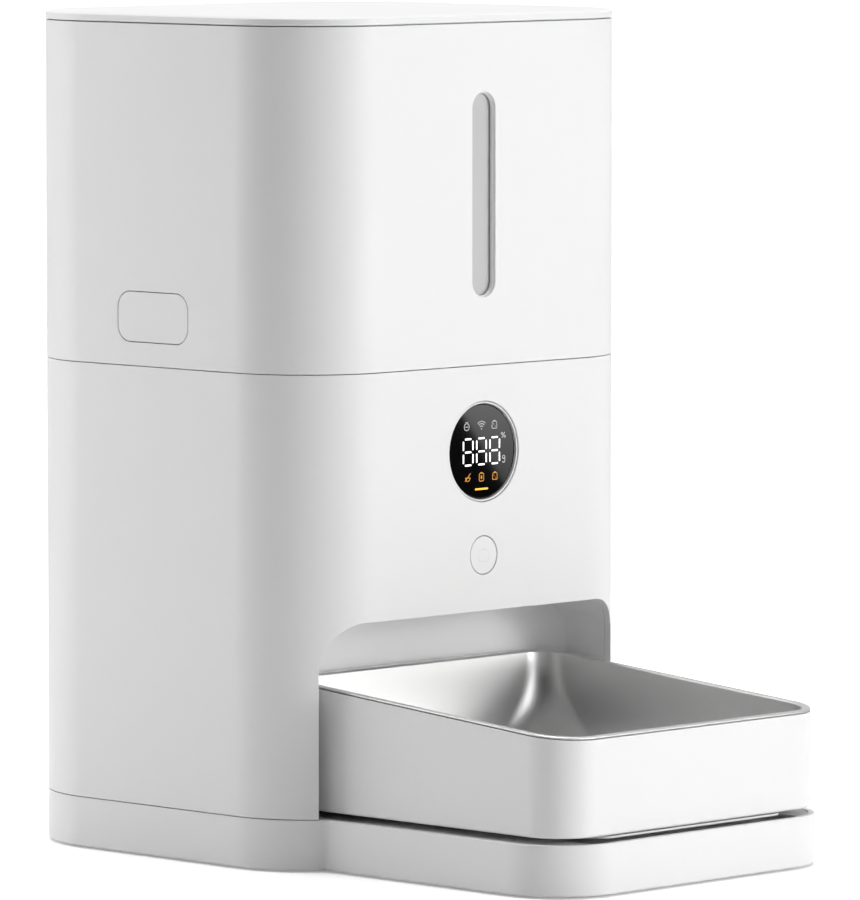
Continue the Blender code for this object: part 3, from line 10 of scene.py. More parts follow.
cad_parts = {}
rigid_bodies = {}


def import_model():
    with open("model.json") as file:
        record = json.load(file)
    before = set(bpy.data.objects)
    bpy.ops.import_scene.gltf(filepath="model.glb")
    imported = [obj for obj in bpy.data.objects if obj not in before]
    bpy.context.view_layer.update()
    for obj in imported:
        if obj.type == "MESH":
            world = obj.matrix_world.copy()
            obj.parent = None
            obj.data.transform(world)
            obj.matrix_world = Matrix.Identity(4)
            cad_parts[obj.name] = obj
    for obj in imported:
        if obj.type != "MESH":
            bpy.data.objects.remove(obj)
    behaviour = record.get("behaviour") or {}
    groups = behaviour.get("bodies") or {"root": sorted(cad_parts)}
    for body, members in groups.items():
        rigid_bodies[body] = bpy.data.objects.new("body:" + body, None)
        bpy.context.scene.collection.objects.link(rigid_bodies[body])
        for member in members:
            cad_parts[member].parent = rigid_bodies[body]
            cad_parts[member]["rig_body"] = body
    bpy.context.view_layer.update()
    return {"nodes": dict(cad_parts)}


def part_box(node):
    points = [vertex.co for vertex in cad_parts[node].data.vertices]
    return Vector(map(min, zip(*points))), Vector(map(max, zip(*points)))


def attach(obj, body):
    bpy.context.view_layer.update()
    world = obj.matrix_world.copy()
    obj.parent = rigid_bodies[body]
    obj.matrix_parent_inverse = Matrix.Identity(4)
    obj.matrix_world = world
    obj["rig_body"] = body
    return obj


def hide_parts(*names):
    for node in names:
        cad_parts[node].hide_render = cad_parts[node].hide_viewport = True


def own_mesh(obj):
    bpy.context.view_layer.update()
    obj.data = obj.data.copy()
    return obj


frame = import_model()

MM = 0.001

# Steps per quarter turn on the casing's corners, and round turned pieces
CORNER_STEPS = 24
SMALL_STEPS = 8
TURNED_STEPS = 96

# Casing
SIDE_X = 95 * MM
FRONT_Y = -27.5 * MM
BACK_Y = 142.5 * MM
BODY_RADII = (39 * MM, 46 * MM)
APRON_HALF = 78.5 * MM
APRON_Y = -142.5 * MM
APRON_RADIUS = 28 * MM
BASE_TOP = 20 * MM
MID_SEAM = 188 * MM
LID_SEAM = 318.5 * MM
HALF_SEAM = 0.15 * MM
WALL = 2.5 * MM
DRUM_Y = 57.5 * MM
ALCOVE_Y = 14.5 * MM
MOUTH_HALF = 80.4 * MM
MOUTH_TOP = 93.8 * MM
MOUTH_RADIUS = 17.5 * MM

# Bowl and its tray
TRAY_HALF = 73.95 * MM
TRAY_FRONT_Y = -138.9 * MM
TRAY_BACK_Y = 10.8 * MM
TRAY_RADII = (18 * MM, 14 * MM)
TRAY_BOTTOM = 22.1 * MM
TRAY_FLOOR = 24.1 * MM
TRAY_RIM = 58.3 * MM
RIM_SLOPE = 0.081
BOWL_FLOOR = 30 * MM

# Front panel
DISPLAY_Z = 155 * MM
BUTTON_Z = 115.3 * MM
GLASS_Y = -26.2 * MM
DIGIT_PITCH = 7.3 * MM

# Hopper release buttons
RELEASE_Y = 55.7 * MM
RELEASE_Z = 206.8 * MM

# How a flat plan (u, v, w) stands in the feeder
LYING = Matrix.Identity(4)
FACING_FRONT = Matrix(((1, 0, 0, 0), (0, 0, -1, 0), (0, 1, 0, 0), (0, 0, 0, 1)))
FACING_SIDE = Matrix(((0, 0, 1, 0), (1, 0, 0, 0), (0, 1, 0, 0), (0, 0, 0, 1)))


# ---------------------------------------------------------------- camera


def place_camera():
    lens = bpy.data.cameras.new("camera")
    lens.lens = 322.1
    lens.sensor_width = 36
    lens.clip_start = 0.05
    lens.clip_end = 50
    camera = bpy.data.objects.new("camera", lens)
    camera.location = (-2.2067, -2.1507, 0.4105)
    camera.rotation_euler = (math.radians(90 - 4.759), 0, math.radians(-45.72))
    bpy.context.scene.collection.objects.link(camera)
    bpy.context.scene.camera = camera


# ---------------------------------------------------------------- mesh helpers


def rounded_plate(bm, low, high, radii, height, steps=CORNER_STEPS):
    """Flat face with rounded corners: the first radius is for the two corners at low v."""
    older = set(bm.faces)
    corners = bmesh.ops.create_grid(bm, x_segments=1, y_segments=1, size=0.5)["verts"]
    size = (high[0] - low[0], high[1] - low[1], 1)
    middle = ((low[0] + high[0]) / 2, (low[1] + high[1]) / 2, height)
    bmesh.ops.scale(bm, verts=corners, vec=size)
    bmesh.ops.translate(bm, verts=corners, vec=middle)
    pairs = (
        [vert for vert in corners if vert.co.y < middle[1]],
        [vert for vert in corners if vert.co.y > middle[1]],
    )
    for pair, radius in zip(pairs, radii):
        bmesh.ops.bevel(
            bm,
            geom=pair,
            offset=radius,
            offset_type="OFFSET",
            affect="VERTICES",
            segments=steps,
            profile=0.5,
            material=-1,
        )
    return next(face for face in bm.faces if face not in older)


def push(bm, face, levels):
    """Pushes a face through (inset, height) levels, leaving walls behind it."""
    for (inset, height), (next_inset, next_height) in zip(levels, levels[1:]):
        bmesh.ops.inset_individual(
            bm,
            faces=[face],
            thickness=next_inset - inset,
            depth=next_height - height,
            use_even_offset=True,
        )


def close_up(bm, ring):
    """Caps the open start of a pushed shape, or joins its two ends into a ring."""
    edges = [edge for edge in bm.edges if edge.is_boundary]
    if ring:
        bmesh.ops.bridge_loops(bm, edges=edges)
    else:
        bmesh.ops.holes_fill(bm, edges=edges, sides=0)
    bmesh.ops.recalc_face_normals(bm, faces=bm.faces)


def new_piece(name, bm):
    mesh = bpy.data.meshes.new(name)
    bm.to_mesh(mesh)
    bm.free()
    piece = bpy.data.objects.new(name, mesh)
    bpy.context.scene.collection.objects.link(piece)
    return piece


def pushed(name, low, high, radii, levels, ring=False, stand=LYING, steps=CORNER_STEPS):
    """Solid or ring whose section follows (inset, height) levels round a rounded plan.

    On a plan that faces the front, the height is measured towards the front.
    """
    bm = bmesh.new()
    inset, height = levels[0]
    start_low = (low[0] + inset, low[1] + inset)
    start_high = (high[0] - inset, high[1] - inset)
    start_radii = [radius - inset for radius in radii]
    face = rounded_plate(bm, start_low, start_high, start_radii, height, steps)
    push(bm, face, levels)
    if ring:
        bmesh.ops.delete(bm, geom=[face], context="FACES_ONLY")
    close_up(bm, ring)
    bmesh.ops.transform(bm, matrix=stand, verts=bm.verts)
    return new_piece(name, bm)


def body_pushed(name, levels, ring=False):
    return pushed(name, (-SIDE_X, FRONT_Y), (SIDE_X, BACK_Y), BODY_RADII, levels, ring)


def turned(name, section, centre, along="Z", closed=True, steps=TURNED_STEPS):
    """Turns a section of (radius, place on the axis) points about an axis through the centre."""
    bm = bmesh.new()
    verts = [bm.verts.new((radius, 0, place)) for radius, place in section]
    pairs = list(zip(verts, verts[1:]))
    if closed:
        pairs.append((verts[-1], verts[0]))
    edges = [bm.edges.new(pair) for pair in pairs]
    bmesh.ops.spin(
        bm,
        geom=verts + edges,
        cent=(0, 0, 0),
        axis=(0, 0, 1),
        dvec=(0, 0, 0),
        angle=math.tau,
        steps=steps,
        use_merge=True,
    )
    bmesh.ops.remove_doubles(bm, verts=bm.verts, dist=0.002 * MM)
    bmesh.ops.recalc_face_normals(bm, faces=bm.faces)
    if along == "Y":
        turn = Matrix(((1, 0, 0, 0), (0, 0, 1, 0), (0, -1, 0, 0), (0, 0, 0, 1)))
        bmesh.ops.transform(bm, matrix=turn, verts=bm.verts)
    bmesh.ops.translate(bm, verts=bm.verts, vec=centre)
    return new_piece(name, bm)


def rod(name, centre, radius, low, high, along="Z", steps=48):
    section = ((0, low), (radius, low), (radius, high), (0, high))
    return turned(name, section, centre, along, False, steps)


def stepped_hole(name, spot, section):
    """Cutter for a screw's hole and the seat of its head, as (radius, height) points."""
    return turned(name, in_mm(section), spot, closed=False, steps=48)


def block(name, low, high):
    bm = bmesh.new()
    corners = bmesh.ops.create_cube(bm, size=1)["verts"]
    low, high = Vector(low), Vector(high)
    bmesh.ops.scale(bm, verts=corners, vec=high - low)
    bmesh.ops.translate(bm, verts=corners, vec=(low + high) / 2)
    return new_piece(name, bm)


def settle(piece):
    """Makes a piece's modifiers part of its mesh."""
    graph = bpy.context.evaluated_depsgraph_get()
    mesh = bpy.data.meshes.new_from_object(piece.evaluated_get(graph))
    piece.modifiers.clear()
    piece.data = mesh


def combine(operation, target, others):
    for other in others:
        step = target.modifiers.new(operation.lower(), "BOOLEAN")
        step.operation = operation
        step.solver = "EXACT"
        step.object = other
    settle(target)
    for other in others:
        bpy.data.objects.remove(other)
    bm = bmesh.new()
    bm.from_mesh(target.data)
    bmesh.ops.remove_doubles(bm, verts=bm.verts, dist=0.003 * MM)
    bmesh.ops.dissolve_degenerate(bm, edges=bm.edges, dist=0.001 * MM)
    bm.to_mesh(target.data)
    bm.free()
    return target


def cut(target, *others):
    return combine("DIFFERENCE", target, others)


def join(target, *others):
    return combine("UNION", target, others)


def keep_inside(target, *others):
    return combine("INTERSECT", target, others)


def shade(piece, soft_edge, segments=3):
    """Smooth shading with a small rounding on every real edge."""
    piece.data.shade_smooth()
    piece.data.set_sharp_from_angle(angle=math.radians(30))
    if soft_edge:
        rounding = piece.modifiers.new("soft_edge", "BEVEL")
        rounding.width = soft_edge
        rounding.segments = segments
        rounding.limit_method = "ANGLE"
        rounding.angle_limit = math.radians(35)
        rounding.use_clamp_overlap = False
    even = piece.modifiers.new("even_shading", "WEIGHTED_NORMAL")
    even.keep_sharp = True


def fit(piece, nodes, finish, soft_edge=0.2 * MM, body=None, segments=3):
    """Gives a new piece its finish and lets it stand for, and move with, its CAD nodes."""
    if soft_edge is not None:
        shade(piece, soft_edge, segments)
    piece.data.materials.clear()
    piece.data.materials.append(finish)
    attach(piece, body or frame["nodes"][nodes[0]]["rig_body"])
    if nodes:
        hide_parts(*nodes)
    return piece


# ---------------------------------------------------------------- surface effects


def new_group(name, inputs, outputs):
    group = bpy.data.node_groups.new(name, "ShaderNodeTree")
    for label, value in inputs:
        socket = group.interface.new_socket(label, in_out="INPUT", socket_type="NodeSocketFloat")
        socket.default_value = value
    for label in outputs:
        group.interface.new_socket(label, in_out="OUTPUT", socket_type="NodeSocketFloat")
    entry = group.nodes.new("NodeGroupInput")
    leave = group.nodes.new("NodeGroupOutput")
    return group, entry, leave


def make_moulded_grain():
    """Fine spark texture of moulded plastic, and a slow cloudiness of its gloss."""
    group, entry, leave = new_group(
        "moulded_grain", (("Grain Scale", 2600.0), ("Cloud Scale", 22.0)), ("Height", "Cloud")
    )
    place = group.nodes.new("ShaderNodeTexCoord")
    grain = group.nodes.new("ShaderNodeTexNoise")
    grain.inputs["Detail"].default_value = 3
    cloud = group.nodes.new("ShaderNodeTexNoise")
    cloud.inputs["Detail"].default_value = 4
    for noise, scale in ((grain, "Grain Scale"), (cloud, "Cloud Scale")):
        group.links.new(place.outputs["Object"], noise.inputs["Vector"])
        group.links.new(entry.outputs[scale], noise.inputs["Scale"])
    group.links.new(grain.outputs["Fac"], leave.inputs["Height"])
    group.links.new(cloud.outputs["Fac"], leave.inputs["Cloud"])
    return group


def make_brushing():
    """Fine lines drawn out along one direction, as brushing leaves on metal."""
    group, entry, leave = new_group(
        "brushing", (("Line Scale", 900.0), ("Stretch", 0.04)), ("Height", "Streak")
    )
    place = group.nodes.new("ShaderNodeTexCoord")
    split = group.nodes.new("ShaderNodeSeparateXYZ")
    along = group.nodes.new("ShaderNodeMath")
    along.operation = "MULTIPLY"
    joined = group.nodes.new("ShaderNodeCombineXYZ")
    lines = group.nodes.new("ShaderNodeTexNoise")
    lines.inputs["Detail"].default_value = 3
    grains = group.nodes.new("ShaderNodeTexNoise")
    grains.inputs["Detail"].default_value = 2
    group.links.new(place.outputs["Object"], split.inputs["Vector"])
    group.links.new(split.outputs["X"], along.inputs[0])
    group.links.new(entry.outputs["Stretch"], along.inputs[1])
    group.links.new(along.outputs["Value"], joined.inputs["X"])
    group.links.new(split.outputs["Y"], joined.inputs["Y"])
    group.links.new(split.outputs["Z"], joined.inputs["Z"])
    group.links.new(joined.outputs["Vector"], lines.inputs["Vector"])
    group.links.new(entry.outputs["Line Scale"], lines.inputs["Scale"])
    group.links.new(place.outputs["Object"], grains.inputs["Vector"])
    group.links.new(entry.outputs["Line Scale"], grains.inputs["Scale"])
    group.links.new(lines.outputs["Fac"], leave.inputs["Streak"])
    group.links.new(grains.outputs["Fac"], leave.inputs["Height"])
    return group


def new_material(name, colour, roughness, metallic=0.0):
    material = bpy.data.materials.new(name)
    material.use_nodes = True
    material.diffuse_color = (*colour, 1)
    shader = material.node_tree.nodes["Principled BSDF"]
    shader.inputs["Base Color"].default_value = (*colour, 1)
    shader.inputs["Roughness"].default_value = roughness
    shader.inputs["Metallic"].default_value = metallic
    return material, shader


def vary(material, shader, mask, socket, low, high):
    """Lets a mask move a shader's colour or number between two near values."""
    nodes, links = material.node_tree.nodes, material.node_tree.links
    if isinstance(low, tuple):
        mix = nodes.new("ShaderNodeMix")
        mix.data_type = "RGBA"
        mix.inputs[6].default_value = (*low, 1)
        mix.inputs[7].default_value = (*high, 1)
        links.new(mask, mix.inputs[0])
        links.new(mix.outputs[2], shader.inputs[socket])
    else:
        span = nodes.new("ShaderNodeMapRange")
        span.inputs["From Min"].default_value = 0.3
        span.inputs["From Max"].default_value = 0.7
        span.inputs["To Min"].default_value = low
        span.inputs["To Max"].default_value = high
        links.new(mask, span.inputs["Value"])
        links.new(span.outputs["Result"], shader.inputs[socket])


def roughen(material, shader, height, strength, distance):
    nodes, links = material.node_tree.nodes, material.node_tree.links
    bump = nodes.new("ShaderNodeBump")
    bump.inputs["Strength"].default_value = strength
    bump.inputs["Distance"].default_value = distance
    links.new(height, bump.inputs["Height"])
    links.new(bump.outputs["Normal"], shader.inputs["Normal"])


def moulded(name, grain, colour, roughness, scale=2600.0, strength=0.12, spread=0.05):
    """Moulded plastic or rubber: fine grain, with gloss and tone that drift a little."""
    material, shader = new_material(name, colour, roughness)
    effect = material.node_tree.nodes.new("ShaderNodeGroup")
    effect.node_tree = grain
    effect.inputs["Grain Scale"].default_value = scale
    darker = tuple(part * 0.985 for part in colour)
    vary(material, shader, effect.outputs["Cloud"], "Base Color", darker, colour)
    cloud = effect.outputs["Cloud"]
    vary(material, shader, cloud, "Roughness", roughness - spread, roughness + spread)
    roughen(material, shader, effect.outputs["Height"], strength, 0.02 * MM)
    return material, shader


def metal(name, brushing, colour, roughness, scale=900.0, stretch=0.04, strength=0.1, spread=0.05):
    """Metal with a drawn or brushed surface."""
    material, shader = new_material(name, colour, roughness, 1.0)
    effect = material.node_tree.nodes.new("ShaderNodeGroup")
    effect.node_tree = brushing
    effect.inputs["Line Scale"].default_value = scale
    effect.inputs["Stretch"].default_value = stretch
    darker = tuple(part * 0.94 for part in colour)
    vary(material, shader, effect.outputs["Streak"], "Base Color", darker, colour)
    streak = effect.outputs["Streak"]
    vary(material, shader, streak, "Roughness", roughness - spread, roughness + spread)
    roughen(material, shader, effect.outputs["Height"], strength, 0.01 * MM)
    return material, shader


def glowing(name, grain, colour, strength):
    material, shader = new_material(name, colour, 0.4)
    effect = material.node_tree.nodes.new("ShaderNodeGroup")
    effect.node_tree = grain
    effect.inputs["Grain Scale"].default_value = 900
    dimmer = tuple(part * 0.93 for part in colour)
    vary(material, shader, effect.outputs["Height"], "Emission Color", dimmer, colour)
    shader.inputs["Emission Strength"].default_value = strength
    return material


def make_finishes():
    grain = make_moulded_grain()
    brushing = make_brushing()
    finishes = {}
    white, shader = moulded("white_casing", grain, (0.84, 0.84, 0.84), 0.45)
    shader.inputs["Specular IOR Level"].default_value = 0.4
    finishes["white"] = white
    finishes["inner"], _ = moulded("inner_plastic", grain, (0.68, 0.69, 0.70), 0.5, 1400)
    finishes["dark"], _ = moulded("dark_plastic", grain, (0.035, 0.035, 0.04), 0.45, 1800)
    finishes["rubber"], _ = moulded("foot_rubber", grain, (0.03, 0.03, 0.03), 0.75, 1500, 0.3)
    finishes["gasket"], _ = moulded("gasket_silicone", grain, (0.7, 0.72, 0.73), 0.55, 900, 0.1)
    finishes["gear"], _ = moulded("gear_acetal", grain, (0.78, 0.76, 0.69), 0.38, 1600)
    finishes["rotor"], _ = moulded("soft_blade", grain, (0.28, 0.36, 0.42), 0.6, 1200, 0.2)
    finishes["board"], _ = moulded("circuit_board", grain, (0.02, 0.13, 0.06), 0.4, 700, 0.1)
    frost, shader = moulded("window_frost", grain, (0.5, 0.5, 0.5), 0.35, 3200, 0.15)
    shader.inputs["Coat Weight"].default_value = 0.3
    shader.inputs["Coat Roughness"].default_value = 0.2
    finishes["frost"] = frost
    glass, shader = moulded("display_glass", grain, (0.003, 0.003, 0.0035), 0.03, 500, 0.0, 0.01)
    finishes["glass"] = glass
    bowl_colour = (0.78, 0.78, 0.775)
    finishes["bowl"], _ = metal("bowl_steel", brushing, bowl_colour, 0.38, 3200, 0.6, 0.02, 0.02)
    finishes["steel"], _ = metal("machined_steel", brushing, (0.6, 0.6, 0.62), 0.3)
    finishes["aluminium"], _ = metal("aluminium", brushing, (0.75, 0.76, 0.77), 0.38)
    finishes["brass"], _ = metal("brass", brushing, (0.72, 0.52, 0.22), 0.28)
    finishes["lit_white"] = glowing("lit_segment", grain, (1.0, 1.0, 1.0), 1.0)
    finishes["lit_grey"] = glowing("lit_icon", grain, (0.3, 0.3, 0.31), 1.0)
    finishes["lit_orange"] = glowing("lit_warning", grain, (0.5, 0.19, 0.0), 0.8)
    finishes["lit_amber"] = glowing("lit_low_food", grain, (1.0, 0.42, 0.0), 1.0)
    finishes["print"], _ = moulded("printed_mark", grain, (0.74, 0.74, 0.74), 0.5)
    return finishes


# ---------------------------------------------------------------- lid


def make_lid(finishes):
    crown = []
    for step in range(9):
        angle = math.radians(90 * step / 8)
        crown.append((4.6 * MM * (1 - math.sin(angle)), 321 * MM + 1.2 * MM * math.cos(angle)))
    under = LID_SEAM + HALF_SEAM * 2
    levels = crown + [(0, under), (WALL, under), (WALL, 320.2 * MM)]
    lid = body_pushed("lid_top", levels)
    fit(lid, ["lid_cover"], finishes["white"], 0.3 * MM)

    plate_inset = 2.9 * MM
    levels = [
        (plate_inset, 319.9 * MM),
        (plate_inset, 317.5 * MM),
        (8 * MM, 317.5 * MM),
        (8 * MM, 307.2 * MM),
        (10 * MM, 307.2 * MM),
        (10 * MM, 317.5 * MM),
    ]
    liner = body_pushed("lid_plug", levels)
    fit(liner, ["lid_liner"], finishes["inner"], 0.3 * MM)

    levels = [
        (6.1 * MM, 309.7 * MM),
        (5.9 * MM, 310.2 * MM),
        (5.9 * MM, 310.8 * MM),
        (6.5 * MM, 311.4 * MM),
        (6.5 * MM, 311.8 * MM),
        (5.9 * MM, 312.3 * MM),
        (5.9 * MM, 312.8 * MM),
        (6.1 * MM, 313.2 * MM),
        (7.7 * MM, 313.2 * MM),
        (7.7 * MM, 309.7 * MM),
    ]
    gasket = body_pushed("lid_seal", levels, ring=True)
    fit(gasket, ["lid_gasket"], finishes["gasket"], 0.1 * MM)

    centre = (0, DRUM_Y, 0)
    section = [(0, 317.2), (32, 317.2), (32, 299.2), (30, 299.2), (30, 315.2), (0, 315.2)]
    case = turned("desiccant_case", in_mm(section), centre, closed=False)
    fit(case, ["desiccant_box"], finishes["inner"], 0.3 * MM)
    section = [
        (0, 296.4),
        (33.5, 296.4),
        (33.5, 298.9),
        (29.7, 298.9),
        (29.7, 303.2),
        (27.7, 303.2),
        (27.7, 298.4),
        (0, 298.4),
    ]
    cap = turned("desiccant_lid", in_mm(section), centre, closed=False)
    vents = []
    for number in range(6):
        angle = math.tau * number / 6
        spot = (17 * MM * math.cos(angle), DRUM_Y + 17 * MM * math.sin(angle), 0)
        vents.append(rod(f"vent_{number}", spot, 3.2 * MM, 290 * MM, 302 * MM))
    cut(cap, *vents)
    ribs = []
    for number in range(24):
        angle = math.tau * number / 24
        spot = (34.3 * MM * math.cos(angle), DRUM_Y + 34.3 * MM * math.sin(angle), 0)
        ribs.append(rod(f"grip_{number}", spot, 1.6 * MM, 290 * MM, 299.2 * MM, steps=16))
    cut(cap, *ribs)
    fit(cap, ["desiccant_cap"], finishes["inner"], 0.0)


def in_mm(points):
    return [(first * MM, second * MM) for first, second in points]


# ---------------------------------------------------------------- hopper


def stadium_cutter(name, half, low, high, front, back, steps=CORNER_STEPS):
    radius = half * 0.999
    return pushed(
        name,
        (-half, low),
        (half, high),
        (radius, radius),
        [(0, -front), (0, -back)],
        stand=FACING_FRONT,
        steps=steps,
    )


def release_plate(name, side, grow, outer, inner, levels=None):
    low = (RELEASE_Y - 19 * MM - grow, RELEASE_Z - 9.5 * MM - grow)
    high = (RELEASE_Y + 19 * MM + grow, RELEASE_Z + 9.5 * MM + grow)
    radius = 6.3 * MM + grow
    levels = levels or [(0, outer), (0, inner)]
    levels = [(inset, side * (SIDE_X + place)) for inset, place in levels]
    return pushed(name, low, high, (radius, radius), levels, stand=FACING_SIDE, steps=12)


def beside(side, outer, inner):
    return sorted((side * (SIDE_X + outer), side * (SIDE_X + inner)))


def make_hopper(finishes):
    bottom = MID_SEAM + HALF_SEAM
    floor_top = bottom + WALL
    rim = LID_SEAM - HALF_SEAM
    shell = body_pushed("hopper_casing", [(0, bottom), (0, rim), (WALL, rim), (WALL, floor_top)])
    posts = []
    cutters = [
        rod("drum_way", (0, DRUM_Y, 0), 54.5 * MM, 180 * MM, 195 * MM, steps=TURNED_STEPS),
        stadium_cutter("slot_outer", 6.25 * MM, 214 * MM, 292.3 * MM, -30 * MM, -26.4 * MM),
        stadium_cutter("slot_inner", 5.75 * MM, 214.5 * MM, 291.8 * MM, -27 * MM, -24 * MM),
    ]
    for side in (-1, 1):
        word = "left" if side < 0 else "right"
        xs = beside(side, -17 * MM, -19 * MM)
        posts.append(
            block(
                f"spring_stop_{word}",
                (xs[0], RELEASE_Y - 8 * MM, floor_top - 1 * MM),
                (xs[1], RELEASE_Y + 8 * MM, RELEASE_Z + 1.5 * MM),
            )
        )
        cutters.append(release_plate(f"button_way_{word}", side, 0.3 * MM, 1 * MM, -2.7 * MM))
        xs = beside(side, -7.6 * MM, -14.2 * MM)
        cutters.append(
            block(
                f"hook_way_{word}",
                (xs[0], RELEASE_Y - 5.6 * MM, 180 * MM),
                (xs[1], RELEASE_Y + 5.6 * MM, floor_top + 1 * MM),
            )
        )
    join(shell, *posts)
    cut(shell, *cutters)
    fit(shell, ["hopper_shell"], finishes["white"], 0.25 * MM)

    lens = pushed(
        "window_pane",
        (-9.75 * MM, 210.5 * MM),
        (9.75 * MM, 295.8 * MM),
        (3 * MM, 3 * MM),
        [(0, 22.1 * MM), (0, 24.7 * MM)],
        stand=FACING_FRONT,
        steps=SMALL_STEPS,
    )
    fit(lens, ["window_lens"], finishes["frost"], 0.3 * MM)

    make_food_bin(finishes)
    section = [
        (0, 152),
        (54, 152),
        (54, 190.95),
        (61, 190.95),
        (61, 192.65),
        (52, 192.65),
        (52, 154),
        (0, 154),
    ]
    drum = turned("metering_cup", in_mm(section), (0, DRUM_Y, 0), closed=False)
    cut(
        drum,
        block("outlet", (-20 * MM, 10 * MM, 150 * MM), (20 * MM, 32.5 * MM, 156 * MM)),
        rod("shaft_way", (0, DRUM_Y, 0), 8.5 * MM, 150 * MM, 156 * MM),
    )
    fit(drum, ["metering_drum"], finishes["inner"], 0.3 * MM)


def circle_ring(bm, radius, height):
    """Open ring of edges with as many points as the casing's plan has."""
    ring_points = 4 * (CORNER_STEPS + 1)
    made = bmesh.ops.create_circle(bm, cap_ends=False, segments=ring_points, radius=radius)
    turn = Matrix.Rotation(math.radians(-90 + 45 / (CORNER_STEPS + 1)), 4, "Z")
    bmesh.ops.transform(bm, matrix=turn, verts=made["verts"])
    bmesh.ops.translate(bm, verts=made["verts"], vec=(0, DRUM_Y, height))
    return list({edge for vert in made["verts"] for edge in vert.link_edges})


def body_ring(bm, inset, height):
    """Open ring of edges along the casing's plan, moved in by the inset."""
    low = (-SIDE_X + inset, FRONT_Y + inset)
    high = (SIDE_X - inset, BACK_Y - inset)
    radii = [radius - inset for radius in BODY_RADII]
    face = rounded_plate(bm, low, high, radii, height)
    edges = list(face.edges)
    bmesh.ops.delete(bm, geom=[face], context="FACES_ONLY")
    return edges


def bridge_all(bm, rings, closed):
    pairs = list(zip(rings, rings[1:]))
    if closed:
        pairs.append((rings[-1], rings[0]))
    for lower, upper in pairs:
        bmesh.ops.bridge_loops(bm, edges=lower + upper)


def make_food_bin(finishes):
    bm = bmesh.new()
    inset = 3.5 * MM
    rings = [
        circle_ring(bm, 54 * MM, 193.05 * MM),
        circle_ring(bm, 54 * MM, 197.05 * MM),
        body_ring(bm, inset, 222 * MM),
        body_ring(bm, inset, 314 * MM),
        body_ring(bm, inset + 2 * MM, 314 * MM),
        body_ring(bm, inset + 2 * MM, 223 * MM),
        circle_ring(bm, 52 * MM, 198.05 * MM),
        circle_ring(bm, 52 * MM, 193.05 * MM),
    ]
    bridge_all(bm, rings, closed=True)
    bmesh.ops.recalc_face_normals(bm, faces=bm.faces)
    food_bin = new_piece("food_bin", bm)
    opening = block(
        "pane_way",
        (-10.05 * MM, -24.7 * MM, 210.2 * MM),
        (10.05 * MM, -21.8 * MM, 296.1 * MM),
    )
    cut(food_bin, opening)
    fit(food_bin, ["hopper_bin"], finishes["inner"], 0.2 * MM)


def make_releases(finishes):
    for side in (-1, 1):
        word = "left" if side < 0 else "right"
        levels = [
            (0.35 * MM, 0),
            (0.1 * MM, -0.08 * MM),
            (0, -0.3 * MM),
            (0, -2.8 * MM),
            (-2.2 * MM, -2.8 * MM),
            (-2.2 * MM, -4.6 * MM),
        ]
        button = release_plate(f"release_button_{word}", side, 0, 0, 0, levels)
        node = f"latch_button_{word}"
        fit(button, [node], finishes["white"], 0.0)


# ---------------------------------------------------------------- body


def alcove_form(name, grow, front):
    """Alcove as a solid: upright back edges and the roof's side edges are rounded."""
    half = MOUTH_HALF + grow
    bm = bmesh.new()
    corners = bmesh.ops.create_cube(bm, size=1)["verts"]
    low = Vector((-half, front, 12 * MM if not grow else BASE_TOP + HALF_SEAM))
    high = Vector((half, ALCOVE_Y + grow, MOUTH_TOP + grow))
    bmesh.ops.scale(bm, verts=corners, vec=high - low)
    bmesh.ops.translate(bm, verts=corners, vec=(low + high) / 2)
    edges = []
    for edge in bm.edges:
        first, second = (vert.co for vert in edge.verts)
        same_side = abs(first.x - second.x) < 1 * MM
        on_roof = min(first.z, second.z) > high.z - 1 * MM
        at_back = min(first.y, second.y) > high.y - 1 * MM
        if same_side and (on_roof or at_back):
            edges.append(edge)
    bmesh.ops.bevel(
        bm,
        geom=edges,
        offset=MOUTH_RADIUS + grow,
        offset_type="OFFSET",
        affect="EDGES",
        segments=16,
        profile=0.5,
        material=-1,
    )
    bmesh.ops.recalc_face_normals(bm, faces=bm.faces)
    return new_piece(name, bm)


def make_body(finishes):
    low = BASE_TOP + HALF_SEAM
    high = MID_SEAM - HALF_SEAM
    shell = body_pushed("body_casing", [(0, low), (0, high), (WALL, high), (WALL, low)], ring=True)
    mouth = pushed(
        "mouth",
        (-MOUTH_HALF, 10 * MM),
        (MOUTH_HALF, MOUTH_TOP),
        (1 * MM, MOUTH_RADIUS),
        [(0, 47.5 * MM), (0, 5 * MM)],
        stand=FACING_FRONT,
        steps=16,
    )
    display_way = rod("display_way", (0, 0, DISPLAY_Z), 19.35 * MM, -35 * MM, -20 * MM, "Y", 96)
    button_way = rod("button_way", (0, 0, BUTTON_Z), 7.55 * MM, -35 * MM, -20 * MM, "Y", 64)
    jack_way = rod("jack_way", (0, 0, 49.8 * MM), 4.6 * MM, 135 * MM, 150 * MM, "Y", 48)
    cut(shell, mouth, display_way, button_way, jack_way)
    fit(shell, ["body_shell"], finishes["white"], 0.25 * MM)

    liner = alcove_form("alcove_walls", 2 * MM, FRONT_Y - 5 * MM)
    inside = WALL + 0.05 * MM
    keep_inside(liner, body_pushed("inner_form", [(inside, -5 * MM), (inside, 180 * MM)]))
    spout = block("spout_way", (-21 * MM, -11.5 * MM, 88 * MM), (21 * MM, 10.5 * MM, 103 * MM))
    cut(liner, alcove_form("alcove_room", 0.0, FRONT_Y - 30 * MM), spout)
    fit(liner, ["alcove_liner"], finishes["white"], 0.0)


# ---------------------------------------------------------------- front panel


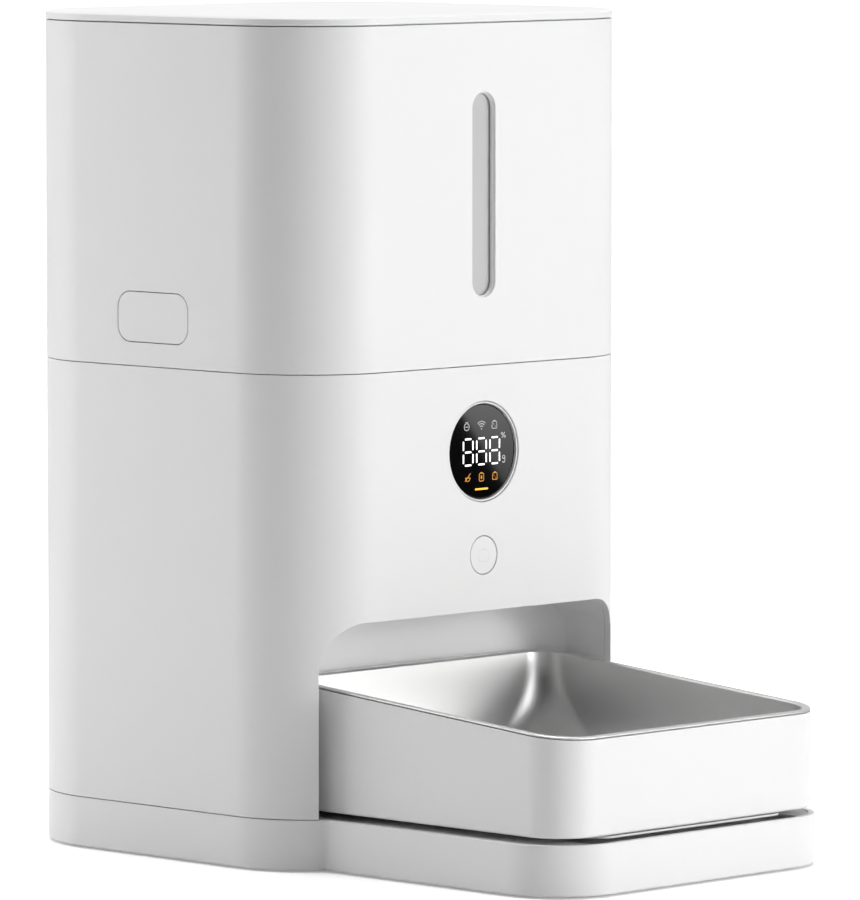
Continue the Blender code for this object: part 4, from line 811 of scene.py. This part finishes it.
def make_front_panel(finishes):
    y = {"face": -27.1, "flange": -24.7, "flange_back": -23.3}
    section = [
        (18.4, y["flange_back"]),
        (18.4, -26.9),
        (18.46, -27.04),
        (18.6, y["face"]),
        (18.85, y["face"]),
        (18.99, -27.04),
        (19.05, -26.9),
        (19.05, y["flange"]),
        (21.55, y["flange"]),
        (21.55, y["flange_back"]),
    ]
    bezel = turned("display_ring", in_mm(section), (0, 0, DISPLAY_Z), "Y", steps=128)
    fit(bezel, ["display_bezel"], finishes["white"], 0.0)
    section = [(0, -26.2), (17.75, -26.2), (17.9, -26.2), (18.04, -26.14)]
    section += [(18.1, -26.0), (18.1, -24.2), (0, -24.2)]
    glass = turned("display_glass", in_mm(section), (0, 0, DISPLAY_Z), "Y", False, 128)
    fit(glass, ["display_lens"], finishes["glass"], 0.0)

    stem_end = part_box("feed_button")[1].y / MM
    section = [
        (0, -27.4),
        (6.75, -27.4),
        (6.9, -27.4),
        (7.1, -27.34),
        (7.22, -27.2),
        (7.25, -27.0),
        (7.25, -24.7),
        (9.05, -24.7),
        (9.05, -23.5),
        (1.6, -23.5),
        (1.6, stem_end),
        (0, stem_end),
    ]
    cap = turned("feed_cap", in_mm(section), (0, 0, BUTTON_Z), "Y", False, 96)
    fit(cap, ["feed_button"], finishes["white"], 0.0)
    make_display_marks(finishes)
    make_feed_mark(finishes)


def lamp_bar(name, centre, size, turn=0.0, round_share=0.42, front=GLASS_Y, proud=0.05 * MM):
    """Small bar with rounded ends on the front panel."""
    half_u, half_v = size[0] / 2, size[1] / 2
    radius = min(half_u, half_v) * 2 * round_share
    bm = bmesh.new()
    face = rounded_plate(bm, (-half_u, -half_v), (half_u, half_v), (radius, radius), 0, 4)
    push(bm, face, [(0, 0), (0, proud + 0.02 * MM)])
    close_up(bm, False)
    place = Matrix.Translation((centre[0], centre[1], -front - 0.02 * MM))
    spin = Matrix.Rotation(math.radians(turn), 4, "Z")
    bmesh.ops.transform(bm, matrix=FACING_FRONT @ place @ spin, verts=bm.verts)
    return new_piece(name, bm)


def lamp_frame(name, centre, size, radius, line, front=GLASS_Y, proud=0.05 * MM, narrow=1.0):
    """Rounded outline drawn as a thin raised line; narrow draws its top in."""
    half_u, half_v = size[0] / 2, size[1] / 2
    bm = bmesh.new()
    face = rounded_plate(bm, (-half_u, -half_v), (half_u, half_v), (radius, radius), 0, 4)
    height = proud + 0.02 * MM
    push(bm, face, [(0, 0), (0, height), (line, height), (line, 0)])
    bmesh.ops.delete(bm, geom=[face], context="FACES_ONLY")
    close_up(bm, True)
    for vert in bm.verts:
        share = (vert.co.y + half_v) / (2 * half_v)
        vert.co.x *= 1 - (1 - narrow) * share
    place = Matrix.Translation((centre[0], centre[1], -front - 0.02 * MM))
    bmesh.ops.transform(bm, matrix=FACING_FRONT @ place, verts=bm.verts)
    return new_piece(name, bm)


def lamp_arc(name, centre, radius, line, start, end, front=GLASS_Y, proud=0.05 * MM):
    """Part of a ring, drawn as a thin raised line."""
    bm = bmesh.new()
    height = proud + 0.02 * MM
    corners = ((-line / 2, 0), (line / 2, 0), (line / 2, height), (-line / 2, height))
    verts = [bm.verts.new((radius + across, 0, up)) for across, up in corners]
    face = bm.faces.new(verts)
    turn = Matrix.Rotation(math.radians(start), 4, "Z")
    bmesh.ops.transform(bm, matrix=turn, verts=bm.verts)
    steps = max(6, int(abs(end - start) / 12))
    bmesh.ops.spin(
        bm,
        geom=[face],
        cent=(0, 0, 0),
        axis=(0, 0, 1),
        dvec=(0, 0, 0),
        angle=math.radians(end - start),
        steps=steps,
        use_duplicate=False,
    )
    if abs(end - start) >= 359:
        caps = [found for found in bm.faces if len(found.edges) == 4 and on_start(found, start)]
        bmesh.ops.delete(bm, geom=caps, context="FACES_ONLY")
    bmesh.ops.remove_doubles(bm, verts=bm.verts, dist=0.001 * MM)
    bmesh.ops.recalc_face_normals(bm, faces=bm.faces)
    place = Matrix.Translation((centre[0], centre[1], -front - 0.02 * MM))
    bmesh.ops.transform(bm, matrix=FACING_FRONT @ place, verts=bm.verts)
    return new_piece(name, bm)


def on_start(face, start):
    """True for a flat end of a spun ring, which lies in the plane it was spun from."""
    across = Vector((-math.sin(math.radians(start)), math.cos(math.radians(start)), 0))
    return all(abs(vert.co.dot(across)) < 0.001 * MM for vert in face.verts)


def gather(name, parts):
    """Makes many small parts one piece."""
    bm = bmesh.new()
    for part in parts:
        bm.from_mesh(part.data)
        bpy.data.objects.remove(part)
    return new_piece(name, bm)


def bag(centre, width, height, line, front=GLASS_Y, proud=0.05 * MM):
    """Outline of a food bag with a clipped top, and two crumbs in it."""
    u, v = centre
    return [
        lamp_frame("bag", (u, v), (width, height), 0.22 * width, line, front, proud, 0.82),
        lamp_bar(
            "clip", (u, v + height / 2 + 0.5 * line), (width * 0.3, line), 0, 0.42, front, proud
        ),
        lamp_bar(
            "crumb", (u - width * 0.15, v + height * 0.1), (line, line * 1.3), 20, 0.42, front, proud
        ),
        lamp_bar(
            "crumb", (u + width * 0.17, v - height * 0.16), (line, line * 1.3), -20, 0.42, front, proud
        ),
    ]


def make_display_marks(finishes):
    digits = []
    for number in (-1, 0, 1):
        u = number * DIGIT_PITCH
        for row in (-1, 0, 1):
            middle = (u, DISPLAY_Z + row * 5.0 * MM)
            digits.append(lamp_bar("segment", middle, (3.5 * MM, 0.66 * MM)))
        for side in (-1, 1):
            for row in (-1, 1):
                spot = (u + side * 2.6 * MM, DISPLAY_Z + row * 2.5 * MM)
                digits.append(lamp_bar("segment", spot, (0.66 * MM, 3.6 * MM)))
    fit(gather("display_digits", digits), [], finishes["lit_white"], 0.0, "root")

    line = 0.28 * MM
    top = DISPLAY_Z + 9.9 * MM
    marks = [
        lamp_frame("pouch", (-8.1 * MM, top - 0.2 * MM), (2.9 * MM, 2.9 * MM), 1.25 * MM, line),
        lamp_bar("neck", (-8.1 * MM, top + 1.55 * MM), (1.5 * MM, line)),
        lamp_bar("fill", (-8.1 * MM, top - 0.2 * MM), (1.6 * MM, line)),
        lamp_bar("dot", (0, top - 1.3 * MM), (0.55 * MM, 0.55 * MM)),
        lamp_arc("wave", (0, top - 1.4 * MM), 1.2 * MM, line, 45, 135),
        lamp_arc("wave", (0, top - 1.4 * MM), 2.1 * MM, line, 45, 135),
        lamp_arc("wave", (0, top - 1.4 * MM), 3.0 * MM, line, 45, 135),
    ]
    marks += bag((7.1 * MM, top - 0.1 * MM), 3.1 * MM, 3.0 * MM, line)
    u, v = 12.0 * MM, DISPLAY_Z + 5.6 * MM
    marks += [
        lamp_bar("stroke", (u, v), (0.34 * MM, 2.6 * MM), -35),
        lamp_arc("ring", (u - 0.75 * MM, v + 0.6 * MM), 0.4 * MM, 0.28 * MM, 0, 360),
        lamp_arc("ring", (u + 0.75 * MM, v - 0.6 * MM), 0.4 * MM, 0.28 * MM, 0, 360),
    ]
    u, v = 12.2 * MM, DISPLAY_Z - 3.2 * MM
    marks += [
        lamp_arc("ring", (u, v + 0.35 * MM), 0.62 * MM, 0.34 * MM, 0, 360),
        lamp_bar("stem", (u + 0.66 * MM, v - 0.2 * MM), (0.34 * MM, 1.9 * MM)),
        lamp_arc("hook", (u, v - 1.05 * MM), 0.66 * MM, 0.34 * MM, 200, 360),
    ]
    fit(gather("display_icons", marks), [], finishes["lit_grey"], 0.0, "root")

    low = DISPLAY_Z - 9.9 * MM
    line = 0.3 * MM
    warnings = [
        lamp_arc("dish", (-7.5 * MM, low), 1.2 * MM, line, 180, 360),
        lamp_bar("dish_rim", (-7.5 * MM, low + 0.1 * MM), (2.9 * MM, line)),
        lamp_bar("strike", (-7.5 * MM, low + 0.3 * MM), (line, 4.4 * MM), -45),
        lamp_frame("cell", (0, low), (2.7 * MM, 3.3 * MM), 0.7 * MM, line),
        lamp_bar("cell_charge", (0, low), (0.7 * MM, 1.4 * MM)),
        lamp_bar("cell_cap", (0, low + 1.75 * MM), (1.1 * MM, line)),
    ]
    warnings += bag((7.4 * MM, low), 3.0 * MM, 2.9 * MM, line)
    warning_marks = gather("display_warnings", warnings)
    fit(warning_marks, [], finishes["lit_orange"], 0.0, "root")
    level = lamp_bar("display_low_food", (0, DISPLAY_Z - 14.4 * MM), (7.1 * MM, 0.7 * MM))
    fit(level, [], finishes["lit_amber"], 0.0, "root")


def make_feed_mark(finishes):
    parts = bag((0, BUTTON_Z - 0.2 * MM), 6.2 * MM, 4.8 * MM, 0.32 * MM, -27.4 * MM, 0.012 * MM)
    mark = gather("feed_mark", parts)
    fit(mark, [], finishes["print"], 0.0, "feed_button")


# ---------------------------------------------------------------- base


def base_form(name, levels):
    """Body's plan and apron's plan joined, as a solid."""
    form = body_pushed(name, levels)
    apron = pushed(
        "apron_form",
        (-APRON_HALF, APRON_Y),
        (APRON_HALF, 60 * MM),
        (APRON_RADIUS, APRON_RADIUS),
        levels,
    )
    return join(form, apron)


def corner_fillet(name, side, low, high):
    """Soft inner corner between the apron's side and the body's round corner."""
    bm = bmesh.new()
    plan = ((77.5, -22.85), (78.5, -22.85), (80.375, -18.95), (78, -17.5))
    verts = [bm.verts.new((side * x * MM, y * MM, low)) for x, y in plan]
    face = bm.faces.new(verts)
    made = bmesh.ops.extrude_face_region(bm, geom=[face])["geom"]
    raised = [part for part in made if isinstance(part, bmesh.types.BMVert)]
    bmesh.ops.translate(bm, verts=raised, vec=(0, 0, high - low))
    bmesh.ops.recalc_face_normals(bm, faces=bm.faces)
    filler = new_piece(name, bm)
    spot = (side * 83.5 * MM, -22.85 * MM, 0)
    return cut(filler, rod("fillet_round", spot, 5 * MM, low - 1 * MM, high + 1 * MM, steps=96))


def make_base(finishes):
    rim = BASE_TOP - HALF_SEAM
    low = 0.8 * MM
    levels = [(0.9 * MM, low), (0.4 * MM, 0.95 * MM), (0.1 * MM, 1.35 * MM), (0, 1.9 * MM)]
    levels += [(0, rim - 0.3 * MM), (0.08 * MM, rim - 0.08 * MM), (0.3 * MM, rim)]
    pan = base_form("base_tub", levels)
    join(
        pan,
        corner_fillet("fillet_left", -1, 1.9 * MM, rim - 0.3 * MM),
        corner_fillet("fillet_right", 1, 1.9 * MM, rim - 0.3 * MM),
    )
    cut(pan, base_form("tub_room", [(WALL, 2.8 * MM), (WALL, 30 * MM)]))
    rib = block("cross_rib", (-93.5 * MM, 17 * MM, 2 * MM), (93.5 * MM, 19 * MM, rim - 1.5 * MM))
    boss = rod("cell_boss", (0, -35.5 * MM, 0), 6 * MM, 2 * MM, 4.3 * MM)
    join(pan, rib, boss)
    cutters = [
        block("door_way", (-51 * MM, 70 * MM, 0), (51 * MM, 136 * MM, 4 * MM)),
        stepped_hole(
            "screw_way",
            (0, -35.5 * MM, 0),
            [(0, -1), (3.8, -1), (3.8, 2.4), (2.2, 2.4), (2.2, 6), (0, 6)],
        ),
    ]
    for number in range(1, 5):
        foot_low, foot_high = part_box(f"rubber_foot_{number}")
        spot = ((foot_low.x + foot_high.x) / 2, (foot_low.y + foot_high.y) / 2, 0)
        cutters.append(rod(f"foot_seat_{number}", spot, 8.3 * MM, 0, 1.7 * MM, steps=64))
        section = [(0, 0), (7.2, 0), (7.7, 0.15), (8, 0.5), (8, 1.4), (0, 1.4)]
        foot = turned(f"foot_{number}", in_mm(section), spot, closed=False, steps=64)
        fit(foot, [f"rubber_foot_{number}"], finishes["rubber"], 0.0)
    cut(pan, *cutters)
    fit(pan, ["base_pan"], finishes["white"], 0.0)

    door = pushed(
        "battery_hatch",
        (-50.7 * MM, 70.8 * MM),
        (50.7 * MM, 135.7 * MM),
        (0.8 * MM, 0.8 * MM),
        [(0.3 * MM, 0.8 * MM), (0, 1.1 * MM), (0, 2.8 * MM)],
        steps=4,
    )
    cut(door, rod("finger_dip", (0, 127 * MM, 0), 6 * MM, 0, 1.8 * MM, steps=64))
    fit(door, ["battery_door"], finishes["white"], 0.15 * MM)
    make_apron(finishes)


def make_apron(finishes):
    """Ledge flush with the base's rim, sunk under the bowl, and the weighing plate in it."""
    ledge, top = 17.4 * MM, 19.6 * MM
    deck = base_form("apron_ledge", [(2.8 * MM, ledge), (2.8 * MM, top)])
    keep_inside(deck, block("deck_part", (-0.2, -0.2, 0), (0.2, 16 * MM, 30 * MM)))
    tub = pushed(
        "recess_block",
        (-57.8 * MM, -139.3 * MM),
        (57.8 * MM, 9.3 * MM),
        (3.8 * MM, 3.8 * MM),
        [(0, 16.2 * MM), (0, 17.6 * MM)],
        steps=SMALL_STEPS,
    )
    join(deck, tub)
    room = pushed(
        "recess_room",
        (-57 * MM, -138.9 * MM),
        (57 * MM, 8.5 * MM),
        (3 * MM, 3 * MM),
        [
            (0.2 * MM, 17.4 * MM),
            (0, 17.6 * MM),
            (0, 19.4 * MM),
            (-0.2 * MM, 19.6 * MM),
            (-0.2 * MM, 25 * MM),
        ],
        steps=SMALL_STEPS,
    )
    cut(deck, room, rod("post_way", (0, -89.5 * MM, 0), 7.5 * MM, 10 * MM, 22 * MM))
    fit(deck, ["apron_deck"], finishes["white"], 0.0)

    plate = pushed(
        "weighing_plate",
        (-52 * MM, -136.9 * MM),
        (52 * MM, 2.8 * MM),
        (8 * MM, 8 * MM),
        [
            (0.25 * MM, 20.6 * MM),
            (0, 20.8 * MM),
            (0, 21.25 * MM),
            (0.08 * MM, 21.43 * MM),
            (0.25 * MM, 21.5 * MM),
        ],
        steps=16,
    )
    pad = pushed(
        "plate_pad",
        (-32 * MM, -118.9 * MM),
        (32 * MM, -15.2 * MM),
        (8 * MM, 8 * MM),
        [(0, 19.4 * MM), (0, 21.8 * MM)],
        steps=16,
    )
    post = rod("plate_post", (0, -89.5 * MM, 0), 6 * MM, 12.3 * MM, 20 * MM)
    join(plate, pad, post)
    cut(
        plate,
        stepped_hole(
            "plate_hole",
            (0, -89.5 * MM, 0),
            [(0, 10), (2.2, 10), (2.2, 19.9), (3.8, 19.9), (3.8, 24), (0, 24)],
        ),
    )
    fit(plate, ["weigh_platform"], finishes["white"], 0.0)


# ---------------------------------------------------------------- bowl


def slope_rim(bm, floor, rim):
    """Lifts the rim towards the back, and what is under it in proportion."""
    for vert in bm.verts:
        share = min(1.0, max(0.0, (vert.co.z - floor) / (rim - floor)))
        vert.co.z += RIM_SLOPE * (vert.co.y - TRAY_FRONT_Y) * share


def make_tray(finishes):
    bm = bmesh.new()
    levels = [(1.2 * MM, TRAY_BOTTOM), (0.6 * MM, 22.26 * MM)]
    levels += [(0.16 * MM, 22.7 * MM), (0, 23.3 * MM)]
    levels += [(0, TRAY_RIM), (2.2 * MM, TRAY_RIM), (2.2 * MM, TRAY_FLOOR)]
    inset, height = levels[0]
    low = (-TRAY_HALF + inset, TRAY_FRONT_Y + inset)
    high = (TRAY_HALF - inset, TRAY_BACK_Y - inset)
    radii = [radius - inset for radius in TRAY_RADII]
    face = rounded_plate(bm, low, high, radii, height)
    push(bm, face, levels)
    close_up(bm, False)
    slope_rim(bm, TRAY_FLOOR, TRAY_RIM)
    tray = new_piece("tray_shell", bm)
    fit(tray, ["bowl_tray"], finishes["white"], 0.15 * MM)


def tray_ring(bm, inset, height, radii):
    low = (-TRAY_HALF + inset, TRAY_FRONT_Y + inset)
    high = (TRAY_HALF - inset, TRAY_BACK_Y - inset)
    face = rounded_plate(bm, low, high, radii, height)
    edges = list(face.edges)
    bmesh.ops.delete(bm, geom=[face], context="FACES_ONLY")
    return edges


def basin_rings(bm, top_inset, top, floor, steps):
    """Rings down one side of the pressed sheet, from under the rim to the level floor."""
    rings = []
    spread = 20.2 * MM
    power = 2 / 2.6
    for step in range(steps + 1):
        angle = math.radians(90 * step / steps)
        down = math.sin(angle) ** power
        across = 1 - max(0.0, math.cos(angle)) ** power
        inset = top_inset + spread * across
        height = top + (floor - top) * down
        radii = [(radius - top_inset) * (1 - down**2) + 36 * MM * down**2 for radius in TRAY_RADII]
        rings.append(tray_ring(bm, inset, height, radii))
    return rings


def make_steel_bowl(finishes):
    sheet = 0.8 * MM
    under = TRAY_RIM + 0.3 * MM
    top = under + sheet
    bm = bmesh.new()
    rim_levels = [
        (1.0 * MM, under),
        (0.45 * MM, under + 0.04 * MM),
        (0.27 * MM, under + 0.18 * MM),
        (0.2 * MM, under + 0.4 * MM),
        (0.27 * MM, under + 0.62 * MM),
        (0.45 * MM, under + 0.76 * MM),
        (0.8 * MM, top),
    ]
    lip = [(2.4 * MM, top), (2.9 * MM, top - 0.06 * MM), (3.3 * MM, top - 0.28 * MM)]
    outside = basin_rings(bm, 2.8 * MM, under - 0.12 * MM, BOWL_FLOOR - sheet, 16)
    outside.reverse()
    rings = list(outside)
    for inset, height in rim_levels + lip:
        radii = [radius - inset for radius in TRAY_RADII]
        rings.append(tray_ring(bm, inset, height, radii))
    rings += basin_rings(bm, 3.6 * MM, top - 0.7 * MM, BOWL_FLOOR, 24)
    bridge_all(bm, rings, closed=False)
    bmesh.ops.holes_fill(bm, edges=[edge for edge in bm.edges if edge.is_boundary], sides=0)
    bmesh.ops.recalc_face_normals(bm, faces=bm.faces)
    slope_rim(bm, BOWL_FLOOR - sheet, under)
    bowl = new_piece("pressed_bowl", bm)
    fit(bowl, ["steel_bowl"], finishes["bowl"], 0.0)


# ---------------------------------------------------------------- inner works


INNER_FINISHES = {
    "dock_deck": "inner",
    "food_chute": "inner",
    "outlet_baffle": "dark",
    "rotor_hub": "dark",
    "paddle_wheel": "rotor",
    "agitator_arm": "rotor",
    "gearbox_base": "dark",
    "gearbox_cover": "dark",
    "motor_can": "steel",
    "idler_pin_a": "steel",
    "idler_pin_b": "steel",
    "output_bush": "brass",
    "gearbox_screw_1": "steel",
    "gearbox_screw_2": "steel",
    "main_board": "board",
    "display_board": "board",
    "chute_sensor": "board",
    "button_switch": "dark",
    "power_jack": "dark",
    "load_cell": "aluminium",
    "load_cell_screw_fixed": "steel",
    "load_cell_screw_moving": "steel",
    "battery_box": "dark",
    "battery_contacts": "steel",
    "latch_hook_left": "dark",
    "latch_hook_right": "dark",
    "output_gear": "gear",
    "drive_dog": "steel",
    "idler_b": "gear",
    "idler_a": "gear",
    "motor_pinion": "brass",
}

# Each spring's button joint, the way it is pressed, the travel, and the body it is seated in
SPRINGS = {
    "latch_spring_left": ("latch_left_press", (1, 0, 0), 3 * MM, "hopper"),
    "latch_spring_right": ("latch_right_press", (-1, 0, 0), 3 * MM, "hopper"),
    "feed_button_spring": ("feed_button_press", (0, 1, 0), 1 * MM, "root"),
}


def finish_inner_works(finishes):
    """Inner pieces keep their shape: their corners are welded, eased and given a finish."""
    for node, finish in INNER_FINISHES.items():
        piece = frame["nodes"][node]
        piece.data.materials.clear()
        piece.data.materials.append(finishes[finish])
        weld = piece.modifiers.new("weld", "WELD")
        weld.merge_threshold = 0.005 * MM
        edge = piece.modifiers.new("eased_edge", "BEVEL")
        edge.width = 0.15 * MM
        edge.segments = 2
        edge.limit_method = "ANGLE"
        edge.angle_limit = math.radians(35)
        edge.use_clamp_overlap = True


def make_springs(finishes):
    """Springs stay on their seats: each is a copy of its CAD node with doubles merged."""
    for node, (joint, pressed, travel, seated_in) in SPRINGS.items():
        bm = bmesh.new()
        bm.from_mesh(frame["nodes"][node].data)
        bmesh.ops.remove_doubles(bm, verts=bm.verts, dist=0.005 * MM)
        coil = new_piece(f"{node}_coil", bm)
        fit(coil, [node], finishes["steel"], 0.0, seated_in)
        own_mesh(coil)


# ---------------------------------------------------------------- studio


def make_floor():
    bm = bmesh.new()
    bmesh.ops.create_grid(bm, x_segments=1, y_segments=1, size=30)
    floor = new_piece("studio_floor", bm)
    material, shader = new_material("studio_floor", (0.93, 0.93, 0.93), 0.7)
    nodes, links = material.node_tree.nodes, material.node_tree.links
    place = nodes.new("ShaderNodeTexCoord")
    distance = nodes.new("ShaderNodeVectorMath")
    distance.operation = "LENGTH"
    far = nodes.new("ShaderNodeMapRange")
    far.inputs["From Min"].default_value = 0.2
    far.inputs["From Max"].default_value = 0.55
    far.inputs["To Min"].default_value = 0.3
    far.inputs["To Max"].default_value = 1.0
    path = nodes.new("ShaderNodeLightPath")
    lift = nodes.new("ShaderNodeMath")
    lift.operation = "MULTIPLY"
    shader.inputs["Emission Color"].default_value = (1, 1, 1, 1)
    links.new(place.outputs["Object"], distance.inputs[0])
    links.new(distance.outputs["Value"], far.inputs["Value"])
    links.new(path.outputs["Is Camera Ray"], lift.inputs[0])
    links.new(far.outputs["Result"], lift.inputs[1])
    links.new(lift.outputs["Value"], shader.inputs["Emission Strength"])
    floor.data.materials.append(material)


def area_light(name, place, target, size, power):
    lamp = bpy.data.lights.new(name, "AREA")
    lamp.shape = "RECTANGLE"
    lamp.size, lamp.size_y = size
    lamp.energy = power
    lamp.spread = math.pi
    light = bpy.data.objects.new(name, lamp)
    light.location = place
    aim = Vector(target) - Vector(place)
    light.rotation_euler = aim.to_track_quat("-Z", "Y").to_euler()
    light.visible_camera = False
    bpy.context.scene.collection.objects.link(light)


def make_world():
    world = bpy.data.worlds.new("studio_surround")
    bpy.context.scene.world = world
    world.use_nodes = True
    nodes, links = world.node_tree.nodes, world.node_tree.links
    nodes.clear()
    direction = nodes.new("ShaderNodeTexCoord")
    towards = nodes.new("ShaderNodeVectorMath")
    towards.operation = "DOT_PRODUCT"
    towards.inputs[1].default_value = (0.72, 0.69, 0.0)
    fade = nodes.new("ShaderNodeMapRange")
    fade.inputs["From Min"].default_value = 0
    fade.inputs["From Max"].default_value = 1
    fade.inputs["To Min"].default_value = 0.015
    fade.inputs["To Max"].default_value = 0.9
    surround = nodes.new("ShaderNodeBackground")
    plain = nodes.new("ShaderNodeBackground")
    plain.inputs["Color"].default_value = (1, 1, 1, 1)
    path = nodes.new("ShaderNodeLightPath")
    mix = nodes.new("ShaderNodeMixShader")
    output = nodes.new("ShaderNodeOutputWorld")
    links.new(direction.outputs["Generated"], towards.inputs[0])
    links.new(towards.outputs["Value"], fade.inputs["Value"])
    links.new(fade.outputs["Result"], surround.inputs["Strength"])
    links.new(path.outputs["Is Camera Ray"], mix.inputs[0])
    links.new(surround.outputs["Background"], mix.inputs[1])
    links.new(plain.outputs["Background"], mix.inputs[2])
    links.new(mix.outputs["Shader"], output.inputs["Surface"])


def make_lights():
    area_light("back_left", (-0.516, 0.737, 0.35), (0, 0, 0.16), (0.5, 0.9), 3.95)
    area_light("front_high", (0.518, -1.932, 0.7), (0, 0, 0.16), (1.0, 1.4), 14)
    area_light("front_low", (1.0, -1.732, 0.28), (0, 0, 0.16), (0.7, 0.7), 13)
    area_light("overhead", (0, 0.1, 2.2), (0, 0, 0.16), (1.6, 1.6), 39)


def make_reflected_card():
    """Softly graded card that only gloss sees: its slanting edge crosses the display's glass."""
    eye = bpy.context.scene.camera.location
    ends = []
    for spot in (Vector((-9.9, -26.2, 169.0)) * MM, Vector((11.6, -26.2, 142.9)) * MM):
        ray = (spot - eye).normalized()
        ray.y = -ray.y
        ends.append(spot + ray * 1.2)
    upper, lower = ends
    along = (lower - upper).normalized()
    facing = Vector((-0.7135, 0.6959, 0.083)).normalized()
    across = along.cross(facing).normalized()
    if across.z < 0:
        across = -across
    middle = (upper + lower) / 2
    turn = Matrix((along, across, facing)).transposed().to_4x4()
    bm = bmesh.new()
    bmesh.ops.create_grid(bm, x_segments=1, y_segments=1, size=1)
    bmesh.ops.scale(bm, verts=bm.verts, vec=(0.09, 0.06, 1))
    bmesh.ops.transform(bm, matrix=Matrix.Translation(middle) @ turn, verts=bm.verts)
    card = new_piece("reflected_card", bm)
    material = bpy.data.materials.new("reflected_card")
    material.use_nodes = True
    nodes, links = material.node_tree.nodes, material.node_tree.links
    nodes.clear()
    place = nodes.new("ShaderNodeTexCoord")
    towards = nodes.new("ShaderNodeVectorMath")
    towards.operation = "DOT_PRODUCT"
    towards.inputs[1].default_value = (0, 0, 1)
    beyond = nodes.new("ShaderNodeVectorMath")
    beyond.operation = "DOT_PRODUCT"
    beyond.inputs[1].default_value = across
    lit = nodes.new("ShaderNodeMath")
    lit.operation = "GREATER_THAN"
    lit.inputs[1].default_value = middle.dot(across)
    shown = nodes.new("ShaderNodeMath")
    shown.operation = "MULTIPLY"
    fade = nodes.new("ShaderNodeMapRange")
    fade.inputs["From Min"].default_value = middle.z - 0.035
    fade.inputs["From Max"].default_value = middle.z + 0.05
    fade.inputs["To Min"].default_value = 0.5
    fade.inputs["To Max"].default_value = 3.4
    glow = nodes.new("ShaderNodeEmission")
    output = nodes.new("ShaderNodeOutputMaterial")
    links.new(place.outputs["Object"], towards.inputs[0])
    links.new(towards.outputs["Value"], fade.inputs["Value"])
    links.new(place.outputs["Object"], beyond.inputs[0])
    links.new(beyond.outputs["Value"], lit.inputs[0])
    links.new(lit.outputs["Value"], shown.inputs[0])
    links.new(fade.outputs["Result"], shown.inputs[1])
    links.new(shown.outputs["Value"], glow.inputs["Strength"])
    links.new(glow.outputs["Emission"], output.inputs["Surface"])
    card.data.materials.append(material)
    card.visible_camera = False
    card.visible_diffuse = False
    card.visible_shadow = False
    card.visible_transmission = False


place_camera()
bpy.context.scene.view_settings.view_transform = "Standard"
finishes = make_finishes()
make_lid(finishes)
make_hopper(finishes)
make_releases(finishes)
make_body(finishes)
make_front_panel(finishes)
make_base(finishes)
make_tray(finishes)
make_steel_bowl(finishes)
finish_inner_works(finishes)
make_springs(finishes)
make_floor()
make_world()
make_lights()
make_reflected_card()
